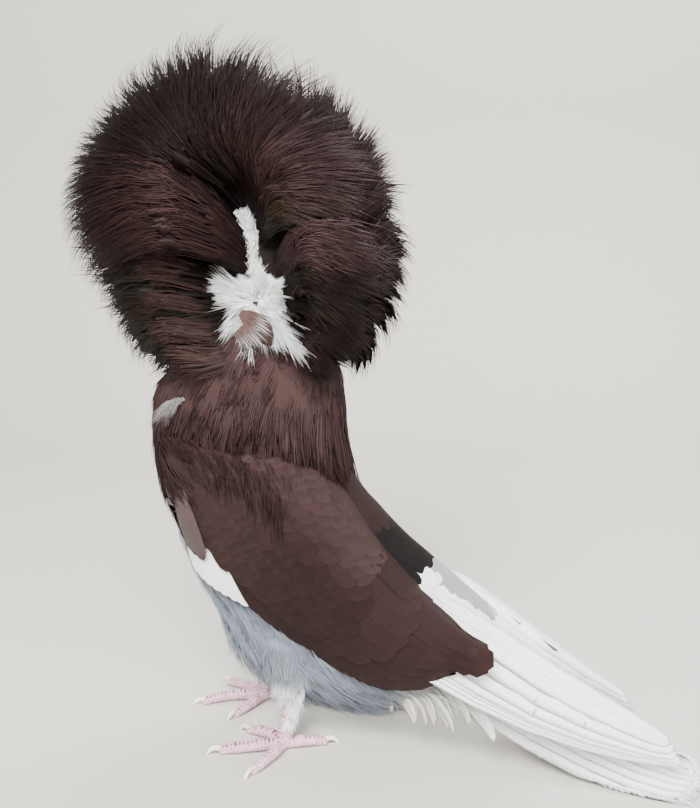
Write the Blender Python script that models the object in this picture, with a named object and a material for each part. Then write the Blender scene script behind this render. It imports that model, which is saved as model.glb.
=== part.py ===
"""A jacobin pigeon, standing, life size, as a still model in separate closed pieces.

Metres, +Z up. The bird faces -Y and its left side is +X. Below, places are measured from the floor
midway between the feet, and main() moves the whole bird so that its box is centred on the origin.
"""

import random
from math import cos, hypot, pi, radians, sin, tau

import bmesh
import bpy
from mathutils import Vector

GAP = 0.0003
SEED = 14
STANDING_POINT = Vector((0.0, 0.0551, 0.0))
LEFT, RIGHT = 1, -1

# Hood: the ruff round the head, whose feathers spring from a rose on each side of the neck.
# A turn of 0 points up and a quarter turn points back. HOOD_REACH holds the distance of the tips
# from HOOD_CENTRE in the middle plane, at even turns.
HOOD_CENTRE = Vector((0.0, -0.017, 0.258))
HOOD_REACH = (0.093, 0.090, 0.088, 0.088, 0.093, 0.097, 0.092, 0.089, 0.082, 0.087, 0.086, 0.089)
HOOD_SIDE_REACH = 0.084
HOOD_CORE_CENTRE = Vector((0.0, -0.002, 0.238))
HOOD_CORE_HALF = Vector((0.035, 0.038, 0.050))
FACE_TUNNEL_BACK = -0.0197
FACE_TUNNEL_HALF = (0.0195, 0.0250)
FACE_SECTOR = (radians(232), radians(320))
HEAD_LEVEL = 0.250
LOCK_HALF_WIDTH = 0.0120
LOCK_HALF_THICK = 0.0014
# Lock rows: angle out of the middle plane, locks in a full turn, and twist of their flat faces
LOCK_ROWS = ((5, 16, 70), (18, 18, 0), (31, 17, 0), (44, 14, 0), (57, 10, 0))
LOWEST_LOCK = 0.1685
LOCK_SWAY = 0.05
LOCK_REACH = (0.95, 1.01)
LOCK_TWIST_SWAY = 0.28
LOCK_ROOT_DEPTH = 0.86
# In the sector of the face, tips keep this far from the middle plane and roots from the face
CHIN_LATERAL = radians(14)
CHEEK_LATERAL = radians(56)
# Stations of a lock: share of its length, share of its half width, share of its half thickness
LOCK_STATIONS = ((0.0, 0.26, 1.0), (0.42, 0.74, 1.1), (0.78, 0.98, 0.7))

# Torso stations: front y, front z, back y, back z, half width
TORSO = (
    (-0.061, 0.164, 0.036, 0.164, 0.035),
    (-0.061, 0.148, 0.037, 0.146, 0.037),
    (-0.056, 0.122, 0.046, 0.122, 0.038),
    (-0.043, 0.092, 0.060, 0.102, 0.037),
    (-0.029, 0.066, 0.075, 0.090, 0.035),
    (-0.018, 0.040, 0.090, 0.081, 0.032),
    (0.008, 0.020, 0.102, 0.074, 0.027),
    (0.046, 0.014, 0.110, 0.066, 0.021),
    (0.076, 0.022, 0.113, 0.058, 0.015),
    (0.092, 0.035, 0.112, 0.053, 0.010),
)

# Neck stations: level, front y, back y, half width
NECK = (
    (0.1643, -0.061, 0.036, 0.035),
    (0.1760, -0.059, 0.037, 0.033),
    (0.1870, -0.050, 0.034, 0.028),
    (0.1990, -0.029, 0.024, 0.021),
    (0.2220, -0.018, 0.020, 0.017),
)

# Wing shield stations: low y, low z, high y, high z, middle x, outermost x
WING = (
    (-0.034, 0.116, -0.042, 0.157, 0.024, 0.037),
    (-0.026, 0.103, -0.018, 0.162, 0.022, 0.041),
    (-0.013, 0.090, 0.008, 0.158, 0.018, 0.043),
    (0.005, 0.079, 0.030, 0.144, 0.014, 0.045),
    (0.025, 0.068, 0.045, 0.127, 0.012, 0.045),
    (0.047, 0.056, 0.059, 0.109, 0.013, 0.043),
    (0.068, 0.048, 0.075, 0.093, 0.017, 0.040),
    (0.088, 0.048, 0.093, 0.079, 0.021, 0.037),
    (0.103, 0.054, 0.107, 0.069, 0.025, 0.032),
)
SHINGLE_TILT = 0.11
SHINGLE_LIFT = 0.00015
ROOT_DEPTH = 0.0016
SHIELD_TAPER = (0.7, 1.0, 0.85)

# Folded primaries, which lie like a steep roof over the tail: low x, y, z and high x, y, z
BLADE = (
    (0.032, 0.072, 0.056, 0.018, 0.092, 0.084),
    (0.031, 0.108, 0.040, 0.014, 0.120, 0.066),
    (0.029, 0.144, 0.028, 0.012, 0.150, 0.047),
    (0.024, 0.178, 0.020, 0.010, 0.178, 0.033),
    (0.016, 0.206, 0.015, 0.009, 0.202, 0.021),
)
PRIMARIES = 5
PRIMARY_STEP = 0.0012
PRIMARY_HALF_WIDTH = 0.0070
PRIMARY_TAPER = (0.8, 1.0, 0.75)

# Tail: line of its middle as y, z
TAIL_LINE = ((0.090, 0.045), (0.124, 0.029), (0.158, 0.0150), (0.186, 0.0080), (0.211, 0.0058))
TAIL_ROOT_HALF_WIDTH = 0.009
TAIL_TIP_HALF_WIDTH = 0.022
RECTRIX_STEP = 0.0011
RECTRICES_A_SIDE = 6
RECTRIX_HALF_WIDTH = 0.0062
RECTRIX_TAPER = (0.5, 0.9, 1.0, 0.75)
TAIL_COVERT_HALF_WIDTH = 0.0065
# Root of the tail: share of the tail's line, half width and half height
TAIL_ROOT = ((0.0, 0.0095, 0.0090), (0.16, 0.0105, 0.0065), (0.32, 0.0100, 0.0025))

FEATHER_HALF_THICK = 0.00035

# Legs: foot places, and the turn of each foot towards the bird's left
FOOT_PLACE = {LEFT: Vector((0.029, 0.017, 0.0)), RIGHT: Vector((-0.016, -0.013, 0.0))}
FOOT_TURN = {LEFT: radians(27), RIGHT: radians(27)}
HOCK = {LEFT: Vector((0.024, 0.020, 0.030)), RIGHT: Vector((-0.018, -0.008, 0.030))}
THIGH_TOP = {LEFT: Vector((0.019, 0.016, 0.062)), RIGHT: Vector((-0.017, 0.000, 0.062))}
# Half width and half depth of the thigh at even steps down to the hock
THIGH_HALVES = ((0.0130, 0.0150), (0.0125, 0.0150), (0.0100, 0.0120), (0.0062, 0.0070))
TARSUS_HALF = (0.0034, 0.0030)
# Tarsus stations: share of the way down, and swelling
TARSUS_STATIONS = ((0.0, 1.15), (0.25, 1.0), (0.7, 0.95), (1.0, 1.25))
TOE_HALF = 0.0033
TOE_PADS = 3
# Toe name: direction from the foot's own line, length without claw, claw length
TOES = {
    "inner": (-48, 0.020, 0.0070),
    "middle": (0, 0.028, 0.0080),
    "outer": (52, 0.024, 0.0070),
    "hind": (180, 0.018, 0.0075),
}
# Claw stations: share of its length, and half thickness
CLAW_STATIONS = ((0.0, 0.00135), (0.35, 0.00125), (0.7, 0.0008), (1.0, 0.0003))

EYE_PLACE = Vector((0.0122, -0.0415, 0.2545))
EYE_RADIUS = 0.0048
LID_HALF = Vector((0.0034, 0.0060, 0.0056))
LID_OUT = 0.0005
# Head stations: y, level, half width, half height
HEAD = (
    (-0.0200, 0.2500, 0.0118, 0.0140),
    (-0.0270, 0.2520, 0.0146, 0.0166),
    (-0.0360, 0.2525, 0.0155, 0.0172),
    (-0.0450, 0.2510, 0.0142, 0.0156),
    (-0.0520, 0.2485, 0.0108, 0.0124),
    (-0.0570, 0.2465, 0.0072, 0.0085),
)
BILL_ROOT_Y = -0.0573
BILL_TIP_Y = -0.0745
MOUTH_LEVEL = 0.2445
BILL_HALF_WIDTH = 0.0042
UPPER_BILL_HIGH = 0.0046
LOWER_BILL_HIGH = 0.0024
BILL_TIP_HALF = 0.0005
BILL_HOOK = 0.0022
CERE_PLACE = Vector((0.0019, -0.0609, 0.2485))
CERE_HALF = Vector((0.0021, 0.0031, 0.0018))
NOSTRIL_PLACE = Vector((0.0033, -0.0643, 0.2469))
NOSTRIL_HALF = Vector((0.0009, 0.0015, 0.0004))


def material(name, colour, roughness):
    made = bpy.data.materials.get(name) or bpy.data.materials.new(name)
    made.use_nodes = True
    shader = made.node_tree.nodes["Principled BSDF"]
    shader.inputs["Base Color"].default_value = (*colour, 1.0)
    shader.inputs["Roughness"].default_value = roughness
    shader.inputs["Metallic"].default_value = 0.0
    return made


def red_brown():
    return material("red_brown_plumage", (0.085, 0.042, 0.035), 0.75)


def white():
    return material("white_plumage", (0.80, 0.80, 0.78), 0.70)


def grey():
    return material("grey_plumage", (0.36, 0.39, 0.43), 0.85)


def pink_scale():
    return material("pink_scales", (0.62, 0.25, 0.28), 0.55)


def horn():
    return material("pale_horn", (0.72, 0.62, 0.50), 0.40)


def eye_glass():
    return material("eye", (0.05, 0.03, 0.02), 0.10)


def mesh_object(name, points, faces, finish=None):
    """One object from points and faces, triangulated, with its normals facing out."""
    mesh = bpy.data.meshes.new(name)
    mesh.from_pydata([tuple(p) for p in points], [], faces)
    work = bmesh.new()
    work.from_mesh(mesh)
    bmesh.ops.triangulate(work, faces=work.faces)
    bmesh.ops.recalc_face_normals(work, faces=work.faces)
    work.to_mesh(mesh)
    work.free()
    made = bpy.data.objects.new(name, mesh)
    bpy.context.scene.collection.objects.link(made)
    if finish:
        mesh.materials.append(finish)
    return made


def between(rows, share):
    """The row at this share of the way along rows, on a smooth curve through them."""
    place = min(max(share, 0.0), 1.0) * (len(rows) - 1)
    first = min(int(place), len(rows) - 2)
    t = place - first
    before, here = rows[max(first - 1, 0)], rows[first]
    there, after = rows[first + 1], rows[min(first + 2, len(rows) - 1)]
    return [
        0.5 * (2 * b + (c - a) * t + (2 * a - 5 * b + 4 * c - d) * t * t
               + (3 * b - a - 3 * c + d) * t * t * t)
        for a, b, c, d in zip(before, here, there, after)
    ]


def loft(name, rings, finish=None):
    """A closed solid through rings of equal count, with a flat cap at each end."""
    count = len(rings[0])
    points = [p for ring in rings for p in ring]
    faces = []
    for k in range(len(rings) - 1):
        for i in range(count):
            a, b = k * count + i, k * count + (i + 1) % count
            faces += [(a, b, b + count), (a, b + count, a + count)]
    for k in (0, len(rings) - 1):
        middle = sum(rings[k], Vector()) / count
        points.append(middle)
        faces += [
            (k * count + i, k * count + (i + 1) % count, len(points) - 1)
            for i in range(count)
        ]
    return mesh_object(name, points, faces, finish)


def ring(centre, across, along, count, start=0.0):
    """Points round an ellipse with these two half axes, given as vectors."""
    return [
        centre + across * cos(start + tau * i / count) + along * sin(start + tau * i / count)
        for i in range(count)
    ]


def ellipsoid(name, centre, half, segments=16, rings=10, finish=None):
    rows = []
    for k in range(1, rings):
        turn = pi * k / rings
        level = centre + Vector((0, 0, half.z * cos(turn)))
        rows.append(
            ring(level, Vector((half.x * sin(turn), 0, 0)), Vector((0, half.y * sin(turn), 0)), segments)
        )
    points = [p for row in rows for p in row]
    faces = []
    for k in range(len(rows) - 1):
        for i in range(segments):
            a, b = k * segments + i, k * segments + (i + 1) % segments
            faces += [(a, b, b + segments), (a, b + segments, a + segments)]
    for k, pole in ((0, half.z), (len(rows) - 1, -half.z)):
        points.append(centre + Vector((0, 0, pole)))
        faces += [
            (k * segments + i, k * segments + (i + 1) % segments, len(points) - 1)
            for i in range(segments)
        ]
    return mesh_object(name, points, faces, finish)


def box(name, low, high):
    corners = [
        (x, y, z) for x in (low[0], high[0]) for y in (low[1], high[1]) for z in (low[2], high[2])
    ]
    faces = [(0, 1, 3, 2), (4, 6, 7, 5), (0, 4, 5, 1), (2, 3, 7, 6), (0, 2, 6, 4), (1, 5, 7, 3)]
    return mesh_object(name, corners, faces)


def vane(path, sides, half_widths, half_thicks, tip):
    """A flat tapered feather or lock: a lens-shaped section along path that ends in a point at tip."""
    points, faces = [], []
    for k, middle in enumerate(path):
        onward = (path[k + 1] if k + 1 < len(path) else tip) - middle
        side = sides[k] - onward * (sides[k].dot(onward) / onward.length_squared)
        side.normalize()
        face = onward.cross(side).normalized()
        wide, thick = side * half_widths[k], face * half_thicks[k]
        points += [middle + wide, middle + thick, middle - wide, middle - thick]
    for k in range(len(path) - 1):
        for i in range(4):
            a, b = 4 * k + i, 4 * k + (i + 1) % 4
            if i % 2:
                faces += [(a, b, a + 4), (b, b + 4, a + 4)]
            else:
                faces += [(a, b, b + 4), (a, b + 4, a + 4)]
    faces += [(0, 1, 2), (0, 2, 3)]
    points.append(tip)
    last = 4 * (len(path) - 1)
    faces += [(last + i, last + (i + 1) % 4, len(points) - 1) for i in range(4)]
    return mesh_object("piece", points, faces)


def bezier(a, b, c, d, t):
    s = 1 - t
    return a * s ** 3 + b * (3 * s * s * t) + c * (3 * s * t * t) + d * t ** 3


def signed_volume(faces):
    total = 0.0
    for face in faces:
        a, b, c = (v.co for v in face.verts[:3])
        total += a.dot(b.cross(c))
    return total


def keep_largest(made):
    """Leaves only the closed surface that holds most, and drops sealed hollows and loose scraps."""
    work = bmesh.new()
    work.from_mesh(made.data)
    seen, groups = set(), []
    for first in work.faces:
        if first in seen:
            continue
        stack, group = [first], []
        seen.add(first)
        while stack:
            here = stack.pop()
            group.append(here)
            for edge in here.edges:
                for other in edge.link_faces:
                    if other not in seen:
                        seen.add(other)
                        stack.append(other)
        groups.append(group)
    groups.sort(key=signed_volume)
    for group in groups[:-1]:
        bmesh.ops.delete(work, geom=group, context="FACES")
    work.to_mesh(made.data)
    work.free()


def apply_modifiers(made):
    graph = bpy.context.evaluated_depsgraph_get()
    mesh = bpy.data.meshes.new_from_object(made.evaluated_get(graph))
    made.modifiers.clear()
    old, made.data = made.data, mesh
    bpy.data.meshes.remove(old)
    work = bmesh.new()
    work.from_mesh(mesh)
    bmesh.ops.triangulate(work, faces=work.faces)
    work.to_mesh(mesh)
    work.free()


def boolean(made, operation, others):
    """Joins or cuts made with the other objects, applies it and removes them."""
    group = bpy.data.collections.new("joined")
    bpy.context.scene.collection.children.link(group)
    for other in others:
        bpy.context.scene.collection.objects.unlink(other)
        group.objects.link(other)
    step = made.modifiers.new("join", "BOOLEAN")
    step.operation = operation
    step.operand_type = "COLLECTION"
    step.collection = group
    step.solver = "MANIFOLD"
    apply_modifiers(made)
    for other in others:
        bpy.data.objects.remove(other)
    bpy.data.collections.remove(group)


def node(name, core, pieces, finish, cutters=()):
    """A node of the bird: the core with its pieces fused to it, then cut by each cutter."""
    core.name = name
    if pieces:
        boolean(core, "UNION", pieces)
    for cutter in cutters:
        boolean(core, "DIFFERENCE", [cutter])
    keep_largest(core)
    core.data.materials.clear()
    core.data.materials.append(finish)
    return core


def swollen(made, grow):
    """Moves the whole surface of made outwards by grow."""
    work = bmesh.new()
    work.from_mesh(made.data)
    work.normal_update()
    moves = [v.normal * v.calc_shell_factor() * grow for v in work.verts]
    for v, move in zip(work.verts, moves):
        v.co += move
    work.to_mesh(made.data)
    work.free()
    return made


def torso_ring(share, count=20):
    front_y, front_z, back_y, back_z, half_width = between(TORSO, share)
    front, back = Vector((0, front_y, front_z)), Vector((0, back_y, back_z))
    return ring((front + back) / 2, Vector((half_width, 0, 0)), (front - back) / 2, count)


def torso_solid(name, grow=0.0):
    steps = 13
    made = loft(name, [torso_ring(k / steps) for k in range(steps + 1)])
    return swollen(made, grow)


def neck_solid(name, grow=0.0):
    steps = 6
    rings = []
    for k in range(steps + 1):
        level, front, back, half_width = between(NECK, k / steps)
        centre = Vector((0, (front + back) / 2, level))
        rings.append(ring(centre, Vector((half_width, 0, 0)), Vector((0, (front - back) / 2, 0)), 16))
    return swollen(loft(name, rings), grow)


def face_tunnel():
    across, up = FACE_TUNNEL_HALF
    rings = []
    for y in (FACE_TUNNEL_BACK, -0.13):
        rings.append(ring(Vector((0, y, HEAD_LEVEL)), Vector((across, 0, 0)), Vector((0, 0, up)), 20))
    return loft("tunnel", rings)


def around(values, turn):
    """The value at this turn, on a smooth closed curve through values at even turns."""
    count = len(values)
    place = turn / tau % 1.0 * count
    first = int(place)
    near = [(values[(first + k) % count],) for k in (-1, 0, 1, 2)]
    return between(near, (1 + place - first) / 3)[0]


def hood_direction(side, lateral, turn):
    return Vector((side * sin(lateral), cos(lateral) * sin(turn), cos(lateral) * cos(turn)))


def hood_tip(side, lateral, turn, share):
    """A place among the tips: lateral is the angle out of the middle plane, and share the reach."""
    reach = around(HOOD_REACH, turn)
    reaches = Vector((HOOD_SIDE_REACH, reach, reach))
    return HOOD_CENTRE + share * reaches * hood_direction(side, lateral, turn)


def in_neck(point, margin):
    share = (point.z - NECK[0][0]) / (NECK[-1][0] - NECK[0][0])
    level, front, back, half_width = between(NECK, share)
    deep = (back - front) / 2 + margin
    return hypot(point.x / (half_width + margin), (point.y - (front + back) / 2) / deep) < 1


def lock(side, lateral, turn, twist):
    """One lock of the hood, from the core out to the tips, bending outwards on its way."""
    turn += random.uniform(-LOCK_SWAY, LOCK_SWAY)
    lateral += random.uniform(-LOCK_SWAY, LOCK_SWAY)
    reach = random.uniform(*LOCK_REACH)
    twist += random.uniform(-LOCK_TWIST_SWAY, LOCK_TWIST_SWAY)
    in_face = FACE_SECTOR[0] < turn < FACE_SECTOR[1]
    tip = hood_tip(side, lateral, turn, reach)
    if tip.z < LOWEST_LOCK or in_neck(tip, 0.003) or (in_face and lateral < CHIN_LATERAL):
        return None
    root_lateral = radians(10) + 0.72 * lateral
    if in_face:
        root_lateral = max(root_lateral, CHEEK_LATERAL)
    normal = hood_direction(side, root_lateral, turn)
    root = HOOD_CORE_CENTRE + LOCK_ROOT_DEPTH * HOOD_CORE_HALF * normal
    length = (tip - root).length
    outward = (normal + Vector((side * 0.35, 0, 0))).normalized()
    finish = (hood_direction(side, lateral * 0.8, turn) + Vector((side * 0.1, -0.15, 0))).normalized()
    path, wide, thick = [], [], []
    for t, width_share, thick_share in LOCK_STATIONS:
        path.append(bezier(root, root + outward * length * 0.38, tip - finish * length * 0.36, tip, t))
        wide.append(LOCK_HALF_WIDTH * width_share)
        thick.append(LOCK_HALF_THICK * thick_share)
    across = hood_direction(side, 0.0, turn + pi / 2)
    edge = across * cos(twist) + Vector((side * sin(twist), 0, 0))
    return vane(path, [edge] * len(path), wide, thick, tip)


def other_half(side):
    low, high = (-0.3, 0.00015) if side == LEFT else (-0.00015, 0.3)
    return box("half", (low, -0.3, -0.1), (high, 0.4, 0.5))


def hood_side(side, finish):
    name = "hood_left" if side == LEFT else "hood_right"
    core = ellipsoid("core", HOOD_CORE_CENTRE, HOOD_CORE_HALF, 14, 8)
    locks = []
    for row, (lateral, count, twist) in enumerate(LOCK_ROWS):
        for k in range(count):
            turn = tau * (k + row / 2 % 1) / count
            made = lock(side, radians(lateral), turn, radians(twist))
            if made:
                locks.append(made)
    return node(
        name, core, locks, finish,
        [face_tunnel(), neck_solid("cut", GAP), other_half(side), torso_solid("cut", GAP)],
    )


def wing_frame(share):
    """Centre, half chord and outward vectors of the wing shield at this share of its length."""
    low_y, low_z, high_y, high_z, middle, outer = between(WING, share)
    low, high = Vector((0, low_y, low_z)), Vector((0, high_y, high_z))
    centre = (low + high) / 2 + Vector((middle, 0, 0))
    return centre, (high - low) / 2, Vector((outer - middle, 0, 0))


def mirrored(point, side):
    return Vector((side * point.x, point.y, point.z))


def wing_core(side):
    steps = 9
    rings = []
    for k in range(steps + 1):
        centre, half, out = wing_frame(k / steps)
        rings.append([mirrored(p, side) for p in ring(centre, half, out, 14)])
    return loft("core", rings)


def wing_place(u, v):
    """A place on the shield and the way out of it: u runs to the rear, v from low edge to high."""
    centre, half, out = wing_frame(u)
    turn = v * pi / 2
    place = centre + half * sin(turn) + out * cos(turn)
    normal = half.normalized() * sin(turn) * out.length + out.normalized() * cos(turn) * half.length
    return place, normal.normalized()


def wing_feather(side, start, end, half_width, lift):
    """A feather on the shield from one (u, v) to another, sunk at its root and tilted as a shingle."""
    path, sides = [], []
    for t in (0.0, 0.45, 0.86, 1.0):
        u = start[0] + (end[0] - start[0]) * t
        v = start[1] + (end[1] - start[1]) * t
        place, normal = wing_place(u, v)
        rise = -ROOT_DEPTH + (lift + ROOT_DEPTH) * min(1.0, t * 2.2)
        path.append(place + normal * rise)
        sides.append(normal)
    edges = []
    for k, normal in enumerate(sides[:-1]):
        onward = (path[k + 1] - path[k]).normalized()
        across = normal.cross(onward)
        edges.append(mirrored(across + normal * SHINGLE_TILT, side))
    path = [mirrored(p, side) for p in path]
    wide = [half_width * share for share in SHIELD_TAPER]
    return vane(path[:-1], edges, wide, [FEATHER_HALF_THICK] * 3, path[-1])


def tier(side, starts, ends, count, half_width, lift):
    """A row of feathers whose roots and tips each run along a line of (u, v) on the shield."""
    made = []
    for k in range(count):
        share = k / (count - 1)
        start, end = between(starts, share), between(ends, share)
        made.append(wing_feather(side, start, end, half_width, lift + SHINGLE_LIFT * (k % 2)))
    return made


def shield_feathers(side):
    secondaries = tier(
        side,
        ((0.20, -0.75), (0.30, -0.35), (0.42, 0.05), (0.50, 0.40)),
        ((0.62, -0.98), (0.88, -0.90), (1.03, -0.20), (0.92, 0.50)),
        7, 0.0098, 0.0016,
    )
    greater = tier(
        side,
        ((0.12, -0.80), (0.24, -0.35), (0.34, 0.05), (0.38, 0.40)),
        ((0.40, -0.92), (0.58, -0.50), (0.70, 0.05), (0.70, 0.48)),
        6, 0.0098, 0.0031,
    )
    median = tier(
        side,
        ((0.04, -0.70), (0.12, -0.25), (0.20, 0.05), (0.24, 0.32)),
        ((0.24, -0.85), (0.38, -0.45), (0.48, 0.00), (0.50, 0.38)),
        5, 0.0102, 0.0046,
    )
    return secondaries + greater + median


def leading_feathers(side):
    """Thumb feathers along the front edge, and the primary coverts just under the shield."""
    made = []
    for k in range(3):
        start, end = (0.00, -0.35 - 0.22 * k), (0.17 + 0.05 * k, -0.80 - 0.08 * k)
        made.append(wing_feather(side, start, end, 0.0042, 0.0032 - 0.0009 * k))
    for k in range(2):
        start, end = (0.10 + 0.05 * k, -1.00), (0.30 + 0.10 * k, -1.14 - 0.04 * k)
        made.append(wing_feather(side, start, end, 0.0050, 0.0010))
    return made


def blade_place(t, s):
    """A place on the folded primaries: t runs to the rear and s from the low edge to the high one."""
    row = between(BLADE, t)
    low, high = Vector(row[:3]), Vector(row[3:])
    out = (high - low).cross(Vector((0, 1, 0))).normalized()
    bulge = out * (0.12 * (high - low).length * sin(pi * s))
    return low.lerp(high, s) + bulge, out, (high - low).normalized()


def primaries(side):
    made = []
    for k in range(PRIMARIES):
        share = k / (PRIMARIES - 1)
        end, high = 1.0 - 0.24 * share ** 1.2, 0.28 + 0.50 * share
        path, edges = [], []
        for t in (0.0, 0.4, 0.86, 1.0):
            place, out, across = blade_place(end * t, 0.5 + (high - 0.5) * min(1.0, 1.6 * t))
            path.append(mirrored(place + out * PRIMARY_STEP * (k - 1.8), side))
            edges.append(mirrored(across + out * 0.05, side))
        wide = [PRIMARY_HALF_WIDTH * s for s in PRIMARY_TAPER]
        made.append(vane(path[:-1], edges[:-1], wide, [FEATHER_HALF_THICK] * 3, path[-1]))
    return made


def wing(side, finish):
    name = "wing_left" if side == LEFT else "wing_right"
    low, high = (-0.3, 0.0005) if side == LEFT else (-0.0005, 0.3)
    middle = box("middle", (low, -0.3, -0.1), (high, 0.4, 0.5))
    pieces = shield_feathers(side) + leading_feathers(side) + primaries(side)
    return node(name, wing_core(side), pieces, finish, [torso_solid("cut", GAP), middle])


def tail_feather(side, share, end, half_width, drop):
    """A tail feather at this share of the half width, this far under the tail's line."""
    path = []
    for t in (0.0, 0.4, 0.72, 0.94, 1.0):
        y, z = between(TAIL_LINE, end * t)
        spread = TAIL_ROOT_HALF_WIDTH + (TAIL_TIP_HALF_WIDTH - TAIL_ROOT_HALF_WIDTH) * end * t
        path.append(Vector((side * share * spread, y, max(z - drop, FEATHER_HALF_THICK))))
    wide = [half_width * s for s in RECTRIX_TAPER]
    return vane(path[:-1], [Vector((1, 0, 0))] * 4, wide, [FEATHER_HALF_THICK] * 4, path[-1])


def tail(finish):
    rings = []
    for along, half_x, half_z in TAIL_ROOT:
        y, z = between(TAIL_LINE, along)
        rings.append(ring(Vector((0, y, z - 0.0025)), Vector((half_x, 0, 0)), Vector((0, 0, half_z)), 12))
    feathers = []
    for k in range(RECTRICES_A_SIDE):
        share = (k + 0.5) / (RECTRICES_A_SIDE - 0.5)
        for side in (LEFT, RIGHT):
            drop = RECTRIX_STEP * (k if side == LEFT else k + 0.5)
            feathers.append(tail_feather(side, share, 1.0 - 0.10 * share ** 2, RECTRIX_HALF_WIDTH, drop))
    for side in (LEFT, RIGHT):
        above, below = (-0.0020, 0.0085) if side == LEFT else (-0.0035, 0.0100)
        feathers.append(tail_feather(side, 0.45, 0.52, TAIL_COVERT_HALF_WIDTH, above))
        feathers.append(tail_feather(side, 0.50, 0.40, TAIL_COVERT_HALF_WIDTH, below))
    floor = box("floor", (-0.2, -0.2, -0.1), (0.2, 0.4, 0.0))
    return node("tail", loft("core", rings), feathers, finish, [torso_solid("cut", GAP), floor])


def thigh(side, finish):
    name = "thigh_left" if side == LEFT else "thigh_right"
    top, low = THIGH_TOP[side], HOCK[side]
    rings = []
    for k, (wide, deep) in enumerate(THIGH_HALVES):
        centre = top.lerp(low, k / (len(THIGH_HALVES) - 1))
        rings.append(ring(centre, Vector((wide, 0, 0)), Vector((0, deep, 0)), 12))
    return node(name, loft("core", rings), [], finish, [torso_solid("cut", GAP)])


def toe_direction(side, toe):
    outward = side * TOES[toe][0]
    turn = FOOT_TURN[side] + radians(outward)
    return Vector((sin(turn), -cos(turn), 0))


def toe_rings(side, toe):
    """Rings of a toe from the middle of the foot to its rounded end, thicker at each pad."""
    length = TOES[toe][1]
    onward = toe_direction(side, toe)
    across = onward.cross(Vector((0, 0, 1)))
    steps = 6
    rings = []
    for k in range(steps + 1):
        share = k / steps
        half = TOE_HALF * (1.0 - 0.25 * share) * (1 + 0.07 * sin(share * TOE_PADS * tau))
        if k == steps:
            half *= 0.62
        middle = FOOT_PLACE[side] + onward * (length * share) + Vector((0, 0, half * 0.92))
        rings.append(ring(middle, across * half, Vector((0, 0, half)), 7))
    return rings


def foot(side, finish):
    name = "foot_left" if side == LEFT else "foot_right"
    hock = HOCK[side] + Vector((0, 0, -GAP))
    sole = FOOT_PLACE[side] + Vector((0, 0, 0.0030))
    wide, deep = TARSUS_HALF
    rings = []
    for share, swell in TARSUS_STATIONS:
        centre = hock.lerp(sole, share)
        rings.append(ring(centre, Vector((wide * swell, 0, 0)), Vector((0, deep * swell, 0)), 10))
    toes = [loft("toe", toe_rings(side, toe)) for toe in TOES]
    floor = box("floor", (-0.2, -0.2, -0.1), (0.2, 0.4, 0.0))
    return node(name, loft("core", rings), toes, finish, [floor])


def claw(side, toe, finish):
    name = f"claw_{'left' if side == LEFT else 'right'}_{toe}"
    length, reach = TOES[toe][1], TOES[toe][2]
    onward = toe_direction(side, toe)
    across = onward.cross(Vector((0, 0, 1)))
    root = FOOT_PLACE[side] + onward * (length + GAP) + Vector((0, 0, 0.0017))
    rings = []
    for share, half in CLAW_STATIONS:
        lift = 0.0012 * sin(pi * min(share * 1.25, 1.0)) - 0.0007 * share
        centre = root + onward * reach * share + Vector((0, 0, lift))
        rings.append(ring(centre, across * half, Vector((0, 0, half)), 6))
    return node(name, loft("core", rings), [], finish)


def head(finish):
    steps = 8
    rings = []
    for k in range(steps + 1):
        y, level, wide, high = between(HEAD, k / steps)
        rings.append(ring(Vector((0, y, level)), Vector((wide, 0, 0)), Vector((0, 0, high)), 14))
    lids, sockets = [], []
    for side in (LEFT, RIGHT):
        place = mirrored(EYE_PLACE, side)
        sockets.append(ellipsoid("socket", place, Vector((1, 1, 1)) * (EYE_RADIUS + GAP), 10, 6))
        lids.append(ellipsoid("lid", place + Vector((side * LID_OUT, 0, 0)), LID_HALF, 10, 5))
    return node("head", loft("core", rings), lids, finish, sockets)


def eye(side, finish):
    name = "eye_left" if side == LEFT else "eye_right"
    half = Vector((1, 1, 1)) * EYE_RADIUS
    return node(name, ellipsoid("core", mirrored(EYE_PLACE, side), half, 10, 6), [], finish)


def bill(upper, finish):
    """One half of the short, slightly hooked bill, with the cere and nostrils on the upper one."""
    steps = 6
    reach = BILL_TIP_Y - BILL_ROOT_Y if upper else 0.9 * (BILL_TIP_Y - BILL_ROOT_Y)
    high = UPPER_BILL_HIGH if upper else -LOWER_BILL_HIGH
    rings = []
    for k in range(steps + 1):
        share = k / steps
        wide = BILL_HALF_WIDTH * (1 - share) ** 0.7 + BILL_TIP_HALF
        level = MOUTH_LEVEL - BILL_HOOK * share ** 2 + (GAP / 2 if upper else -GAP / 2)
        up = Vector((0, 0, high * (1 - share) ** 0.8 + (BILL_TIP_HALF if upper else -BILL_TIP_HALF)))
        middle = Vector((0, BILL_ROOT_Y + reach * share, level))
        across = Vector((wide, 0, 0))
        rings.append([middle + across * cos(pi * i / 8) + up * sin(pi * i / 8) for i in range(9)])
    core = loft("core", rings)
    if not upper:
        return node("bill_lower", core, [], finish)
    ceres, nostrils = [], []
    for side in (LEFT, RIGHT):
        ceres.append(ellipsoid("cere", mirrored(CERE_PLACE, side), CERE_HALF, 7, 4))
        nostrils.append(ellipsoid("nostril", mirrored(NOSTRIL_PLACE, side), NOSTRIL_HALF, 6, 4))
    return node("bill_upper", core, ceres, finish, nostrils)


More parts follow.
